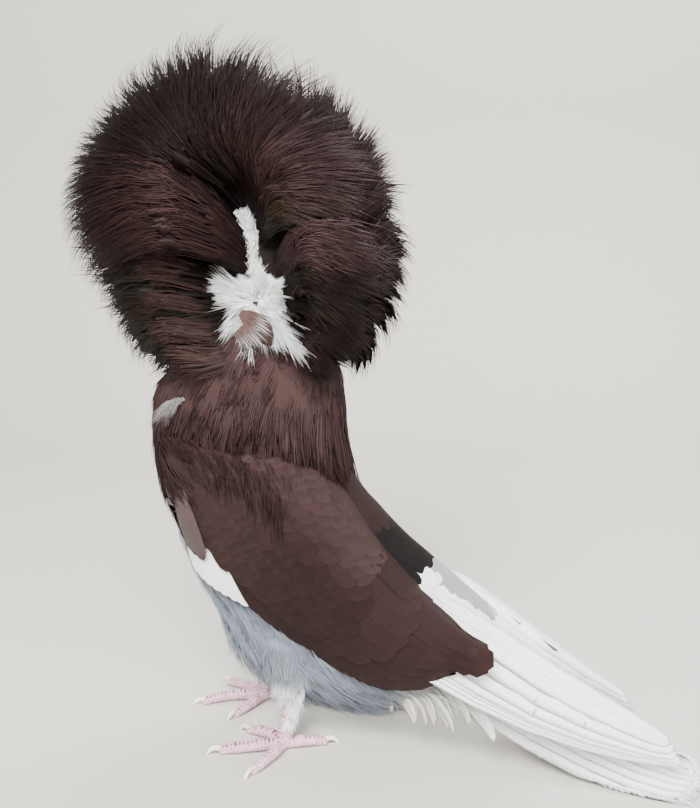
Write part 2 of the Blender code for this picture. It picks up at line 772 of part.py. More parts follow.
def main():
    for old in list(bpy.data.objects):
        bpy.data.objects.remove(old)
    random.seed(SEED)
    nodes = [
        node("torso", torso_solid("torso"), [], grey()),
        node("neck", neck_solid("neck"), [], red_brown()),
        head(white()),
        bill(True, horn()),
        bill(False, horn()),
        tail(white()),
    ]
    for side in (LEFT, RIGHT):
        nodes += [
            hood_side(side, red_brown()),
            wing(side, red_brown()),
            thigh(side, grey()),
            foot(side, pink_scale()),
            eye(side, eye_glass()),
        ]
        nodes += [claw(side, toe, horn()) for toe in TOES]
    for made in nodes:
        made.data.shade_smooth()
        made.data.set_sharp_from_angle(angle=radians(40))
        made.location = -STANDING_POINT


main()
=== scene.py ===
"""Looks of a standing jacobin pigeon: skin, feathers, eyes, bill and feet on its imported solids.

Metres, +Z up, the bird faces -Y and its left side is +X. Places are measured from the floor midway
between the feet, as in the part's own source, and shifted by FEET when a mesh is made.
"""

from collections import namedtuple
from math import cos, pi, radians, sin, tau

import bmesh
import bpy
import numpy as np
from mathutils import Matrix, Vector


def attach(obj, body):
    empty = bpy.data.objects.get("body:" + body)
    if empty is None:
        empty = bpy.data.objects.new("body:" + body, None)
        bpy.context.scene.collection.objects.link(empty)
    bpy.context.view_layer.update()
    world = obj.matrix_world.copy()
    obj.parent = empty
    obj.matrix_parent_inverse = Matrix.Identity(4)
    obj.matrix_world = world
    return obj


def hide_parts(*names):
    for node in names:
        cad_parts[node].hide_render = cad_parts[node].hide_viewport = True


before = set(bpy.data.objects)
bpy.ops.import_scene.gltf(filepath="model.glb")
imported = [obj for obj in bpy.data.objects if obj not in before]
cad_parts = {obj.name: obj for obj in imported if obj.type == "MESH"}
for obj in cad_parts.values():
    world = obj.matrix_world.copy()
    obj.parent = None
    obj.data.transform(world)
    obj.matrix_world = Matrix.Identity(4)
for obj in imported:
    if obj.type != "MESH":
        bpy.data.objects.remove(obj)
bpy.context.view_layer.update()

SEED = 21
FEET = np.array((0.0, -0.0551, 0.0))
LEFT, RIGHT = 1, -1
SIDES = (LEFT, RIGHT)
DENSITY = 1.0
rng = np.random.default_rng(SEED)

# Ruff. A turn of 0 points up and a quarter turn points back, seen from the bird's left.
HOOD_CENTRE = np.array((0.0, -0.017, 0.258))
HOOD_REACH = (0.093, 0.090, 0.088, 0.088, 0.093, 0.097, 0.092, 0.089, 0.082, 0.087, 0.086, 0.089)
HOOD_SIDE_REACH = 0.084
HOOD_CORE_CENTRE = np.array((0.0, -0.002, 0.238))
HOOD_CORE_HALF = np.array((0.035, 0.038, 0.050))
FACE_SECTOR = (radians(232), radians(320))
CHIN_LATERAL = radians(19)
CHEEK_LATERAL = radians(66)
LOWEST_LOCK = 0.1685
ROSE_X = 0.0335

# Body stations from the top of the neck to the vent: front y, front z, back y, back z, half width
BODY = (
    (-0.020, 0.222, 0.024, 0.222, 0.0335),
    (-0.031, 0.199, 0.030, 0.199, 0.0350),
    (-0.050, 0.187, 0.036, 0.187, 0.0358),
    (-0.059, 0.176, 0.038, 0.176, 0.0362),
    (-0.061, 0.164, 0.038, 0.164, 0.0365),
    (-0.061, 0.148, 0.039, 0.146, 0.037),
    (-0.056, 0.122, 0.046, 0.122, 0.038),
    (-0.043, 0.092, 0.060, 0.102, 0.037),
    (-0.029, 0.066, 0.075, 0.090, 0.035),
    (-0.018, 0.040, 0.090, 0.081, 0.032),
    (0.008, 0.020, 0.102, 0.074, 0.027),
    (0.046, 0.014, 0.110, 0.066, 0.021),
    (0.076, 0.022, 0.113, 0.058, 0.015),
    (0.092, 0.035, 0.112, 0.053, 0.010),
)
COAT_DEPTH = 0.0022

# Wing shield stations: low y, low z, high y, high z, middle x, outermost x
WING = (
    (-0.034, 0.116, -0.042, 0.157, 0.024, 0.037),
    (-0.026, 0.103, -0.018, 0.162, 0.022, 0.041),
    (-0.013, 0.090, 0.008, 0.158, 0.018, 0.043),
    (0.005, 0.079, 0.030, 0.144, 0.014, 0.045),
    (0.025, 0.068, 0.045, 0.127, 0.012, 0.045),
    (0.047, 0.056, 0.059, 0.109, 0.013, 0.043),
    (0.068, 0.048, 0.075, 0.093, 0.017, 0.040),
    (0.088, 0.048, 0.093, 0.079, 0.021, 0.037),
    (0.103, 0.054, 0.107, 0.069, 0.025, 0.032),
)

# The right wing is folded lower at the rear, behind the line of the back
RIGHT_WING_DROP = 0.009

# Folded primaries: low x, y, z and high x, y, z
BLADE = (
    (0.032, 0.072, 0.056, 0.018, 0.092, 0.084),
    (0.031, 0.108, 0.040, 0.014, 0.120, 0.066),
    (0.029, 0.144, 0.028, 0.012, 0.150, 0.047),
    (0.024, 0.178, 0.020, 0.010, 0.178, 0.033),
    (0.016, 0.206, 0.015, 0.009, 0.202, 0.021),
)

# Arched tail: y, level of its middle, level of its edges, half width
TAIL = (
    (0.088, 0.0540, 0.0370, 0.0095),
    (0.107, 0.0440, 0.0260, 0.0105),
    (0.1225, 0.0365, 0.0165, 0.0125),
    (0.145, 0.0280, 0.0092, 0.0160),
    (0.170, 0.0190, 0.0026, 0.0190),
    (0.192, 0.0112, 0.0012, 0.0215),
    (0.2125, 0.0048, 0.0012, 0.0220),
)
RECTRICES_A_SIDE = 6

FOOT_PLACE = {LEFT: np.array((0.029, 0.017, 0.0)), RIGHT: np.array((-0.016, -0.013, 0.0))}
FOOT_TURN = {LEFT: radians(27), RIGHT: radians(27)}
HOCK = {LEFT: np.array((0.024, 0.020, 0.030)), RIGHT: np.array((-0.018, -0.008, 0.030))}
THIGH_TOP = {LEFT: np.array((0.019, 0.016, 0.062)), RIGHT: np.array((-0.017, 0.000, 0.062))}
TOE_HALF = 0.0030
TOE_GAIN = 0.0042
# Toe name: direction from the foot's own line, length without claw, claw length
TOES = {
    "inner": (-48, 0.020, 0.0070),
    "middle": (0, 0.028, 0.0080),
    "outer": (52, 0.024, 0.0070),
    "hind": (180, 0.018, 0.0075),
}
SCUTE = 0.0021

# Head stations: y, level, half width, half height
HEAD = (
    (-0.0200, 0.2500, 0.0118, 0.0140),
    (-0.0270, 0.2520, 0.0146, 0.0166),
    (-0.0360, 0.2525, 0.0155, 0.0172),
    (-0.0450, 0.2510, 0.0142, 0.0156),
    (-0.0520, 0.2485, 0.0108, 0.0124),
    (-0.0565, 0.2465, 0.0072, 0.0086),
    (-0.0588, 0.2458, 0.0040, 0.0050),
)
EYE_PLACE = np.array((0.0122, -0.0415, 0.2545))
EYE_RADIUS = 0.0048
BILL_ROOT_Y = -0.0573
BILL_TIP_Y = -0.0745
MOUTH_LEVEL = 0.2445

# Colours, linear
DARK = (0.0044, 0.0026, 0.0026)
BROWN = (0.0135, 0.0066, 0.0062)
RED_BROWN = (0.037, 0.0195, 0.0175)
PINK_BROWN = (0.040, 0.0215, 0.0225)
# Pink for the tips of the ruff's rear arcs: partly the plumage's own pink, partly a painted sheen of light
# on the back of the ruff
PINK_AND_SHEEN_TIP = (0.080, 0.046, 0.050)
OLIVE = (0.0200, 0.0150, 0.0100)
DARK_OLIVE = (0.0085, 0.0074, 0.0052)
TIP = (0.0150, 0.0082, 0.0088)
PALE_TIP = (0.10, 0.066, 0.062)
PLUMAGE = (0.0170, 0.0080, 0.0078)
NECK = (0.040, 0.0225, 0.0220)
OVAL_RED = (0.066, 0.034, 0.030)
ALULA = (0.034, 0.0175, 0.0155)
WHITE = (0.90, 0.90, 0.90)
CREAM = (0.66, 0.60, 0.50)
BLUE_GREY = (0.150, 0.172, 0.215)
PALE_DOWN = (0.34, 0.375, 0.43)
BLACK = (0.0030, 0.0028, 0.0030)
GREY_PATCH = (0.26, 0.26, 0.29)

# Sections as (across, up) pairs: a strand, a cambered vane with a keel below it, and a flat fill
STRAND = ((1.0, 0.0), (0.0, 1.0), (-1.0, 0.0))
VANE = ((1.0, 0.0), (0.52, 0.74), (0.0, 1.0), (-0.52, 0.74), (-1.0, 0.0), (0.0, -0.3))
FLAT = ((1.0, 0.0), (0.0, 1.0), (-1.0, 0.0), (0.0, -1.0))
# Side of a tuft's patch on the bake map
PATCH = 0.003
# Depth scale of a draped feather's keel, which keeps its underside hidden where the surface is hollow
KEEL = 0.0022


def unit(v):
    return v / np.maximum(np.linalg.norm(v, axis=-1, keepdims=True), 1e-12)


def dot(a, b):
    return np.sum(a * b, axis=-1, keepdims=True)


def mix(a, b, share):
    share = np.asarray(share)[..., None]
    return np.asarray(a) * (1 - share) + np.asarray(b) * share


def smooth(low, high, value):
    t = np.clip((value - low) / (high - low), 0, 1)
    return t * t * (3 - 2 * t)


def between(rows, share):
    """The row at each share of the way along rows, on a smooth curve through them."""
    rows = np.asarray(rows, float)
    place = np.clip(share, 0, 1) * (len(rows) - 1)
    first = np.minimum(place.astype(int), len(rows) - 2)
    t = (place - first)[..., None]
    a, b = rows[np.maximum(first - 1, 0)], rows[first]
    c, d = rows[first + 1], rows[np.minimum(first + 2, len(rows) - 1)]
    return 0.5 * (2 * b + (c - a) * t + (2 * a - 5 * b + 4 * c - d) * t ** 2
                  + (3 * b - a - 3 * c + d) * t ** 3)


def spread_points(count, low, high):
    """Points spread evenly over a rectangle, with a third value between 0 and 1 for each."""
    ratio = 1.2207440846
    steps = np.arange(1, count + 1)[:, None] / ratio ** np.arange(1, 4)
    steps = (steps + rng.random(3)) % 1.0
    low, high = np.asarray(low), np.asarray(high)
    return low + (high - low) * steps[:, :2], steps[:, 2]


def bezier(a, b, c, d, t):
    """Points of many curves: a to d hold one point for each curve, and t the shares along them."""
    t = np.asarray(t)[..., None]
    a, b, c, d = (p[:, None, :] for p in (a, b, c, d))
    s = 1 - t
    return a * s ** 3 + b * 3 * s * s * t + c * 3 * s * t * t + d * t ** 3


def sheaf_rings(paths, sides, section, wide, thick):
    """The rings of solids along paths. The sides point to the left of someone who walks the path."""
    count, stations, _ = paths.shape
    section = np.asarray(section)
    onward = unit(np.gradient(paths, axis=1))
    sides = np.broadcast_to(sides if sides.ndim == 3 else sides[:, None, :], paths.shape)
    side = unit(onward * dot(sides, onward) - sides)
    face = np.cross(onward, side)
    wide = np.broadcast_to(wide, (count, stations - 1))[..., None, None]
    thick = np.broadcast_to(thick, (count, stations - 1))[..., None, None]
    rings = (paths[:, :-1, None, :] + side[:, :-1, None, :] * wide * section[:, 0, None]
             + face[:, :-1, None, :] * thick * section[:, 1, None])
    return rings, face


def sheaf_faces(stations, around):
    """The faces of a solid through rings of points, closed by its root and its point."""
    faces = [(0, i + 1, i) for i in range(1, around - 1)]
    for k in range(stations - 2):
        for i in range(around):
            a, b = k * around + i, k * around + (i + 1) % around
            faces += [(a, b, b + around), (a, b + around, a + around)]
    last, tip = (stations - 2) * around, (stations - 1) * around
    faces += [(last + i, last + (i + 1) % around, tip) for i in range(around)]
    return np.array(faces)


def drape_rings(place, a, b, heights, section, wide, thick, tilt):
    """Rings of feathers that follow the surface place(a, b, height) across themselves as well as along."""
    section, step = np.asarray(section), 0.004
    back = np.where(a > 0.5, -step, step)
    here = place(a, b, heights)
    by_a = (place(a + back, b, heights) - here) / back[..., None]
    by_b = (place(a, b + step, heights) - here) / step
    out = place(a, b, heights + 0.001) - here
    side = unit(np.cross(out, unit(np.gradient(here, axis=1))))
    aa, ab, bb = dot(by_a, by_a), dot(by_a, by_b), dot(by_b, by_b)
    on_a, on_b, area = dot(by_a, side), dot(by_b, side), aa * bb - ab ** 2
    off_a, off_b = (on_a * bb - on_b * ab) / area, (on_b * aa - on_a * ab) / area
    off = np.broadcast_to(wide, a[:, :-1].shape)[..., None] * section[:, 0]
    domed = section[:, 1] * np.where(section[:, 1] < 0, KEEL, thick)
    high = heights[:, :-1, None] + domed + tilt * section[:, 0]
    go_a, go_b = (np.clip(way[:, :-1] * off, -0.6, 0.6) for way in (off_a, off_b))
    rings = place(a[:, :-1, None] + go_a, b[:, :-1, None] + go_b, high)
    return rings, unit(out), here[:, -1:]


class Coat:
    """Feathers that are gathered into one piece, with their colours and their places on the skin."""

    def __init__(self, two_sided=False):
        """two_sided is for feathers that are also seen from below."""
        self.two_sided = two_sided
        self.points, self.faces, self.outward, self.tints, self.vanes, self.patches = [], [], [], [], [], []
        self.count = 0

    def add(self, paths, sides, section, wide, thick, tints, roots, patch=PATCH):
        """tints holds a colour for each station, and roots each feather's place on the skin's map."""
        if len(paths):
            rings, out = sheaf_rings(paths, sides, section, wide, thick)
            self.gather(rings, out, paths[:, -1:], section, tints, roots, patch)

    def drape(self, place, a, b, heights, section, wide, thick, tilt, tints, roots, patch=PATCH):
        rings, out, tips = drape_rings(place, a, b, heights + 0 * a, section, wide, thick, tilt)
        self.gather(rings, out, tips, section, tints, roots, patch)

    def gather(self, rings, out, tips, section, tints, roots, patch):
        """A flat feather is shaded as one sheet that faces outward, and a strand by its own faces."""
        count, stations, around = len(rings), rings.shape[1] + 1, len(section)
        points = np.concatenate([rings.reshape(count, -1, 3), tips], axis=1)
        faces = sheaf_faces(stations, around)
        outward = np.concatenate([np.repeat(out[:, :-1], around, axis=1), out[:, -1:]], axis=1)
        each = points.shape[1]
        tints = np.broadcast_to(tints, (count, stations, 3))
        ringed = np.repeat(tints[:, :-1], around, axis=1)
        along = np.repeat(np.linspace(0, 1, stations)[:-1], around)
        along = np.append(along, 1.0)
        across = np.append(np.tile(np.asarray(section)[:, 0], stations - 1), 0.0)
        local = np.stack([across * 0.5 + 0.5, along], axis=-1)
        offsets = np.arange(count)[:, None, None] * each + self.count
        self.points.append(points.reshape(-1, 3))
        self.faces.append((faces[None] + offsets).reshape(-1, 3))
        self.outward.append(outward.reshape(-1, 3) * (around > 4 and not self.two_sided))
        self.tints.append(np.concatenate([ringed, tints[:, -1:]], axis=1).reshape(-1, 3))
        self.vanes.append(np.broadcast_to(local, (count, each, 2)).reshape(-1, 2))
        corner = np.clip(roots, 0, 1 - patch)[:, None, :]
        self.patches.append((corner + local * patch).reshape(-1, 2))
        self.count += count * each

    def build(self, name, finish, nodes=()):
        points = np.concatenate(self.points)
        faces = np.concatenate(self.faces)
        piece = mesh_piece(name, points, faces, finish, nodes)
        outward = np.concatenate(self.outward)
        if outward.any():
            bare = ~outward.any(axis=1)
            outward[bare] = own_normals(points, faces)[bare]
            piece.data.normals_split_custom_set_from_vertices(outward)
        colour_points(piece, np.concatenate(self.tints))
        for layer, values in (("OFBake", self.patches), ("vane", self.vanes)):
            uv = piece.data.uv_layers.new(name=layer)
            uv.data.foreach_set("uv", np.concatenate(values)[faces.ravel()].astype(np.float32).ravel())
        return piece


def own_normals(points, faces):
    """The normal at each point of a mesh, from the faces round it."""
    a, b, c = (points[faces[:, k]] for k in range(3))
    across = np.cross(b - a, c - a)
    normals = np.zeros_like(points)
    for k in range(3):
        np.add.at(normals, faces[:, k], across)
    return unit(normals)


def mesh_piece(name, points, faces, finish, nodes=()):
    mesh = bpy.data.meshes.new(name)
    mesh.vertices.add(len(points))
    mesh.vertices.foreach_set("co", (points + FEET).astype(np.float32).ravel())
    mesh.loops.add(len(faces) * 3)
    mesh.loops.foreach_set("vertex_index", faces.astype(np.int32).ravel())
    mesh.polygons.add(len(faces))
    mesh.polygons.foreach_set("loop_start", np.arange(0, len(faces) * 3, 3, dtype=np.int32))
    mesh.update(calc_edges=True)
    mesh.shade_smooth()
    mesh.materials.append(finish)
    piece = bpy.data.objects.new(name, mesh)
    bpy.context.scene.collection.objects.link(piece)
    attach(piece, "root")
    if nodes:
        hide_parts(*nodes)
    return piece


def colour_points(piece, tints):
    layer = piece.data.color_attributes.new("tint", "FLOAT_COLOR", "POINT")
    rgba = np.ones((len(tints), 4), np.float32)
    rgba[:, :3] = np.clip(tints, 0, 1)
    layer.data.foreach_set("color", rgba.ravel())


# Materials

def link(tree, source, target):
    tree.links.new(source, target)


def new_node(tree, kind, **settings):
    made = tree.nodes.new(kind)
    for key, value in settings.items():
        setattr(made, key, value)
    return made


def math_node(tree, operation, first, second):
    made = new_node(tree, "ShaderNodeMath", operation=operation)
    for socket, value in zip(made.inputs, (first, second)):
        if isinstance(value, (int, float)):
            socket.default_value = value
        else:
            link(tree, value, socket)
    return made.outputs[0]


def tinted_material(name, roughness, specular=0.3, sheen=0.0, speckle=0.18, speckle_scale=900.0):
    """A finish whose colour is the piece's own tint, broken up by fine noise. Returns it and its parts."""
    made = bpy.data.materials.new(name)
    made.use_nodes = True
    tree = made.node_tree
    shader = tree.nodes["Principled BSDF"]
    shader.inputs["Specular IOR Level"].default_value = specular
    shader.inputs["Specular Tint"].default_value = (1.0, 0.82, 0.76, 1.0)
    shader.inputs["Sheen Weight"].default_value = sheen
    shader.inputs["Sheen Roughness"].default_value = 0.45
    tint = new_node(tree, "ShaderNodeVertexColor", layer_name="tint")
    place = new_node(tree, "ShaderNodeTexCoord")
    noise = new_node(tree, "ShaderNodeTexNoise")
    noise.inputs["Scale"].default_value = speckle_scale
    noise.inputs["Detail"].default_value = 4.0
    link(tree, place.outputs["Object"], noise.inputs["Vector"])
    factor = math_node(tree, "MULTIPLY_ADD", noise.outputs["Fac"], 2 * speckle)
    factor.node.inputs[2].default_value = 1 - speckle
    rough = math_node(tree, "MULTIPLY_ADD", noise.outputs["Fac"], 0.16)
    rough.node.inputs[2].default_value = roughness - 0.08
    link(tree, rough, shader.inputs["Roughness"])
    return made, tree, shader, tint.outputs["Color"], factor


def scaled_colour(tree, colour, factor):
    scale = new_node(tree, "ShaderNodeVectorMath", operation="SCALE")
    link(tree, colour, scale.inputs[0])
    link(tree, factor, scale.inputs["Scale"])
    return scale.outputs[0]


def bump(tree, shader, height, distance, strength=0.6):
    made = new_node(tree, "ShaderNodeBump")
    made.inputs["Strength"].default_value = strength
    made.inputs["Distance"].default_value = distance
    link(tree, height, made.inputs["Height"])
    link(tree, made.outputs["Normal"], shader.inputs["Normal"])


def barbs(tree, count, slant):
    """A fine ripple that runs out and forward from the shaft of each vane, as its barbs do."""
    uv = new_node(tree, "ShaderNodeUVMap", uv_map="vane")
    split = new_node(tree, "ShaderNodeSeparateXYZ")
    link(tree, uv.outputs["UV"], split.inputs[0])
    off = math_node(tree, "ABSOLUTE", math_node(tree, "SUBTRACT", split.outputs["X"], 0.5), 0.0)
    run = math_node(tree, "SUBTRACT", split.outputs["Y"], math_node(tree, "MULTIPLY", off, slant))
    wave = math_node(tree, "SINE", math_node(tree, "MULTIPLY", run, count * tau), 0.0)
    return math_node(tree, "MULTIPLY_ADD", wave, 0.5), off


def vane_material(name, count, slant, roughness, specular, sheen=0.0, shaft=0.0, depth=0.00025,
                  ripple=0.12):
    made, tree, shader, tint, factor = tinted_material(name, roughness, specular, sheen)
    wave, off = barbs(tree, count, slant)
    wave.node.inputs[2].default_value = 0.5
    rippled = math_node(tree, "MULTIPLY_ADD", wave, ripple)
    rippled.node.inputs[2].default_value = 1 - ripple / 2
    factor = math_node(tree, "MULTIPLY", factor, rippled)
    if shaft:
        near = new_node(tree, "ShaderNodeMapRange")
        near.inputs["From Min"].default_value = 0.0
        near.inputs["From Max"].default_value = 0.045
        near.inputs["To Min"].default_value = 1.0 - shaft
        near.inputs["To Max"].default_value = 1.0
        link(tree, off, near.inputs["Value"])
        factor = math_node(tree, "MULTIPLY", factor, near.outputs[0])
    link(tree, scaled_colour(tree, tint, factor), shader.inputs["Base Color"])
    bump(tree, shader, wave, depth)
    return made


def strand_material(name, roughness, sheen):
    made, tree, shader, tint, factor = tinted_material(name, roughness, 0.10, sheen, 0.12)
    link(tree, scaled_colour(tree, tint, factor), shader.inputs["Base Color"])
    return made


def skin_material(name):
    made, tree, shader, tint, factor = tinted_material(name, 0.85, 0.2, 0.2, 0.3, 420.0)
    link(tree, scaled_colour(tree, tint, factor), shader.inputs["Base Color"])
    noise = new_node(tree, "ShaderNodeTexNoise")
    noise.inputs["Scale"].default_value = 700.0
    place = new_node(tree, "ShaderNodeTexCoord")
    link(tree, place.outputs["Object"], noise.inputs["Vector"])
    bump(tree, shader, noise.outputs["Fac"], 0.0006)
    return made


def horn_material(name, roughness, scale, depth, specular=0.5, seam=None):
    """Scales, claws and bill: tinted, with a fine leathery relief and seams between the scales."""
    made, tree, shader, tint, factor = tinted_material(name, roughness, specular, 0.0, 0.14, scale)
    cells = new_node(tree, "ShaderNodeTexVoronoi", feature="DISTANCE_TO_EDGE")
    cells.inputs["Scale"].default_value = scale
    place = new_node(tree, "ShaderNodeTexCoord")
    link(tree, place.outputs["Object"], cells.inputs["Vector"])
    colour = scaled_colour(tree, tint, factor)
    if seam:
        near = new_node(tree, "ShaderNodeMapRange")
        near.inputs["From Min"].default_value = 0.05
        near.inputs["From Max"].default_value = 0.16
        link(tree, cells.outputs["Distance"], near.inputs["Value"])
        darker = new_node(tree, "ShaderNodeVectorMath", operation="MULTIPLY")
        link(tree, colour, darker.inputs[0])
        darker.inputs[1].default_value = seam
        blend = new_node(tree, "ShaderNodeMix", data_type="RGBA")
        link(tree, near.outputs[0], blend.inputs["Factor"])
        link(tree, darker.outputs[0], blend.inputs["A"])
        link(tree, colour, blend.inputs["B"])
        colour = blend.outputs["Result"]
    link(tree, colour, shader.inputs["Base Color"])
    bump(tree, shader, cells.outputs["Distance"], depth)
    return made


def eye_material(name):
    made, tree, shader, tint, factor = tinted_material(name, 0.12, 0.6, 0.0, 0.25, 1500.0)
    link(tree, scaled_colour(tree, tint, factor), shader.inputs["Base Color"])
    shader.inputs["Coat Weight"].default_value = 1.0
    shader.inputs["Coat Roughness"].default_value = 0.03
    return made


# Shapes that carry the coat

def body_place(v, phi, height=0.0):
    """A place on the neck or trunk: v runs down it, and phi round it from the left by the front."""
    def at(v, phi):
        row = between(BODY, v)
        zero = np.zeros_like(v)
        front = np.stack([zero, row[..., 0], row[..., 1]], axis=-1)
        back = np.stack([zero, row[..., 2], row[..., 3]], axis=-1)
        out = np.stack([row[..., 4] * np.cos(phi), zero, zero], axis=-1)
        return (front + back) / 2 + out + (front - back) / 2 * np.sin(phi)[..., None], (front + back) / 2
    v, phi = np.broadcast_arrays(np.asarray(v, float), np.asarray(phi, float))
    step = 0.004
    here, middle = at(v, phi)
    low, high = np.clip(v - step, 0, 1 - step), np.clip(v + step, step, 1)
    run = (at(high, phi)[0] - at(low, phi)[0]) / (high - low)[..., None]
    turn = (at(v, phi + step)[0] - at(v, phi - step)[0]) / (2 * step)
    normal = unit(np.cross(turn, run))
    normal *= np.sign(dot(normal, here - middle))
    return here + normal * np.asarray(height)[..., None], normal, run, turn


def on_body(v, phi, height):
    return body_place(v, phi, height)[0]


def wing_curtain(u, v):
    """The left wing's outer surface. Below its low line, at v = -1, it hangs on a little."""
    row = between(WING, u)
    zero = np.zeros_like(row[..., 0])
    low = np.stack([zero, row[..., 0], row[..., 1]], axis=-1)
    high = np.stack([zero, row[..., 2], row[..., 3]], axis=-1)
    turn = v * pi / 2
    rise = np.where(v < -0.6, -0.809 + 0.85 * (v + 0.6), np.sin(turn))
    swell = np.where(v > 0, np.cos(turn), 1 - 0.25 * v ** 2)
    x = row[..., 4] + (row[..., 5] - row[..., 4]) * swell
    return (low + high) / 2 + (high - low) / 2 * rise[..., None] + x[..., None] * np.array((1.0, 0, 0))


def wing_place(u, v, side, height=0.0):
    """A place on the wing: u runs to the rear and v from low edge to high, as a quarter turn."""
    u, v = np.broadcast_arrays(np.asarray(u, float), np.asarray(v, float))
    place, step = wing_curtain(u, v), 0.01
    inside = np.clip(u, step, 1 - step)
    rear = wing_curtain(inside + step, v) - wing_curtain(inside - step, v)
    up = wing_curtain(u, v + step) - wing_curtain(u, v - step)
    normal = unit(np.cross(rear, up))
    place = place + (np.maximum(u - 1, 0) * 1.15 + np.minimum(u, 0))[..., None] * np.array((0, 0.13, -0.05))
    if side == RIGHT:
        place = place - (RIGHT_WING_DROP * smooth(0.25, 0.55, u))[..., None] * np.array((0, 0, 1.0))
    flip = np.array((side, 1, 1))
    return (place + normal * np.asarray(height)[..., None]) * flip, normal * flip


def blade_place(t, s, side, height=0.0):
    """A place on the folded primaries: t runs to their tips and s from their low edge to the high one."""
    t, s = np.broadcast_arrays(t, s)
    row = between(BLADE, t)
    low, high = row[..., :3], row[..., 3:]
    out = unit(np.cross(np.array((0.0, 1.0, 0.0)), high - low))
    long = np.linalg.norm(high - low, axis=-1, keepdims=True)
    s = np.asarray(s, float)[..., None]
    place = low * (1 - s) + high * s + out * (np.asarray(height)[..., None] - 0.12 * long * np.sin(pi * s))
    return place * np.array((side, 1, 1))


def on_wing(side):
    return lambda u, v, height: wing_place(u, v, side, height)[0]


def on_blade(side):
    return lambda t, s, height: blade_place(t, s, side, height)


def head_place(v, phi, height=0.0):
    v, phi = np.broadcast_arrays(v, phi)
    row = between(HEAD, v)
    zero = np.zeros_like(row[..., 0])
    normal = unit(np.stack([np.cos(phi) / row[..., 2], zero, np.sin(phi) / row[..., 3]], axis=-1))
    place = np.stack([row[..., 2] * np.cos(phi), row[..., 0], row[..., 1] + row[..., 3] * np.sin(phi)],
                     axis=-1)
    return place + normal * np.asarray(height)[..., None], normal


def on_head(v, phi, height):
    place = head_place(np.maximum(v, 0), phi, height)[0]
    return place - np.minimum(v, 0)[..., None] * np.array((0, 0.042, 0))


def hood_direction(side, lateral, turn):
    return np.stack([side * np.sin(lateral), np.cos(lateral) * np.sin(turn),
                     np.cos(lateral) * np.cos(turn)], axis=-1)


def hood_reach(turn):
    count = len(HOOD_REACH)
    place = turn / tau % 1.0 * count
    first = place.astype(int)
    t = place - first
    a, b, c, d = (np.take(HOOD_REACH, (first + k) % count) for k in (-1, 0, 1, 2))
    return 0.5 * (2 * b + (c - a) * t + (2 * a - 5 * b + 4 * c - d) * t ** 2
                  + (3 * b - a - 3 * c + d) * t ** 3)


def hood_tip(side, lateral, turn, share):
    reach = hood_reach(turn)
    reaches = np.stack([np.full_like(reach, HOOD_SIDE_REACH), reach, reach], axis=-1)
    return HOOD_CENTRE + share[..., None] * reaches * hood_direction(side, lateral, turn)


def in_neck(point, margin):
    """Whether a point lies in the neck, where it shows below the ruff."""
    share = np.clip((0.222 - point[:, 2]) / (0.222 - 0.164), 0, 1) * 4 / 13
    row = between(BODY, share)
    deep = (row[:, 2] - row[:, 0]) / 2 + margin
    x, y = point[:, 0] / (row[:, 4] + margin), (point[:, 1] - (row[:, 0] + row[:, 2]) / 2) / deep
    return np.hypot(x, y) < 1


# Skin

def ring_solid(rings):
    """A closed solid through rings of equal count, as a joined object for the skin's remesh."""
    rings = np.asarray(rings)
    stations, around, _ = rings.shape
    points = [Vector(p) for p in rings.reshape(-1, 3)]
    faces = []
    for k in range(stations - 1):
        for i in range(around):
            a, b = k * around + i, k * around + (i + 1) % around
            faces.append((a, b, b + around, a + around))
    faces += [tuple(range(around))[::-1], tuple(range((stations - 1) * around, stations * around))]
    return points, faces


def skin_tint(points):
    """The coat's markings, on the skin under it."""
    x, y, z = points.T
    tint = mix(BROWN, DARK, smooth(0.19, 0.23, z))
    rose = np.hypot((y - 0.006) / 0.015, (z - 0.218) / 0.018) < 1
    strip = (np.abs(y - 0.006) < 0.002) & (z > 0.224) & (z < 0.264)
    tint[(np.abs(x) > 0.022) & (rose | strip)] = np.asarray(WHITE) * 0.8
    tint = np.where((z < 0.164)[:, None], trunk_tint(points), tint)
    head = (y < -0.0215) & (np.hypot(x / 0.018, (z - 0.251) / 0.020) < 1)
    return np.where(head[:, None], np.asarray(WHITE) * 0.9, tint)


def trunk_tint(points):
    """Red-brown breast and mantle, black and grey over the rump, white behind, blue-grey belly."""
    _, y, z = points.T
    back = y > 0.033 + 0.55 * (0.146 - z)
    tint = mix(BLUE_GREY, PLUMAGE, smooth(0.096, 0.102, z + 0.15 * y))
    tint = mix(tint, CREAM, smooth(0.050, 0.072, y) * (1 - smooth(0.05, 0.06, z)))
    over = np.select([z > 0.132, z > 0.107, z > 0.093], [0, 1, 2], 3)
    palette = np.array((PLUMAGE, BLACK, GREY_PATCH, WHITE))
    return np.where((back & (z > 0.055))[:, None], palette[over], tint)


def off_wings(points):
    """Where the folded wings leave the body open to view."""
    x, y, z = points.T
    rows = np.array(WING)
    low, high = np.interp(y, rows[:, 0], rows[:, 1]), np.interp(y, rows[:, 2], rows[:, 3])
    return (np.abs(x) < 0.020) | (y < -0.030) | (z < low + 0.008) | (z > high - 0.008)


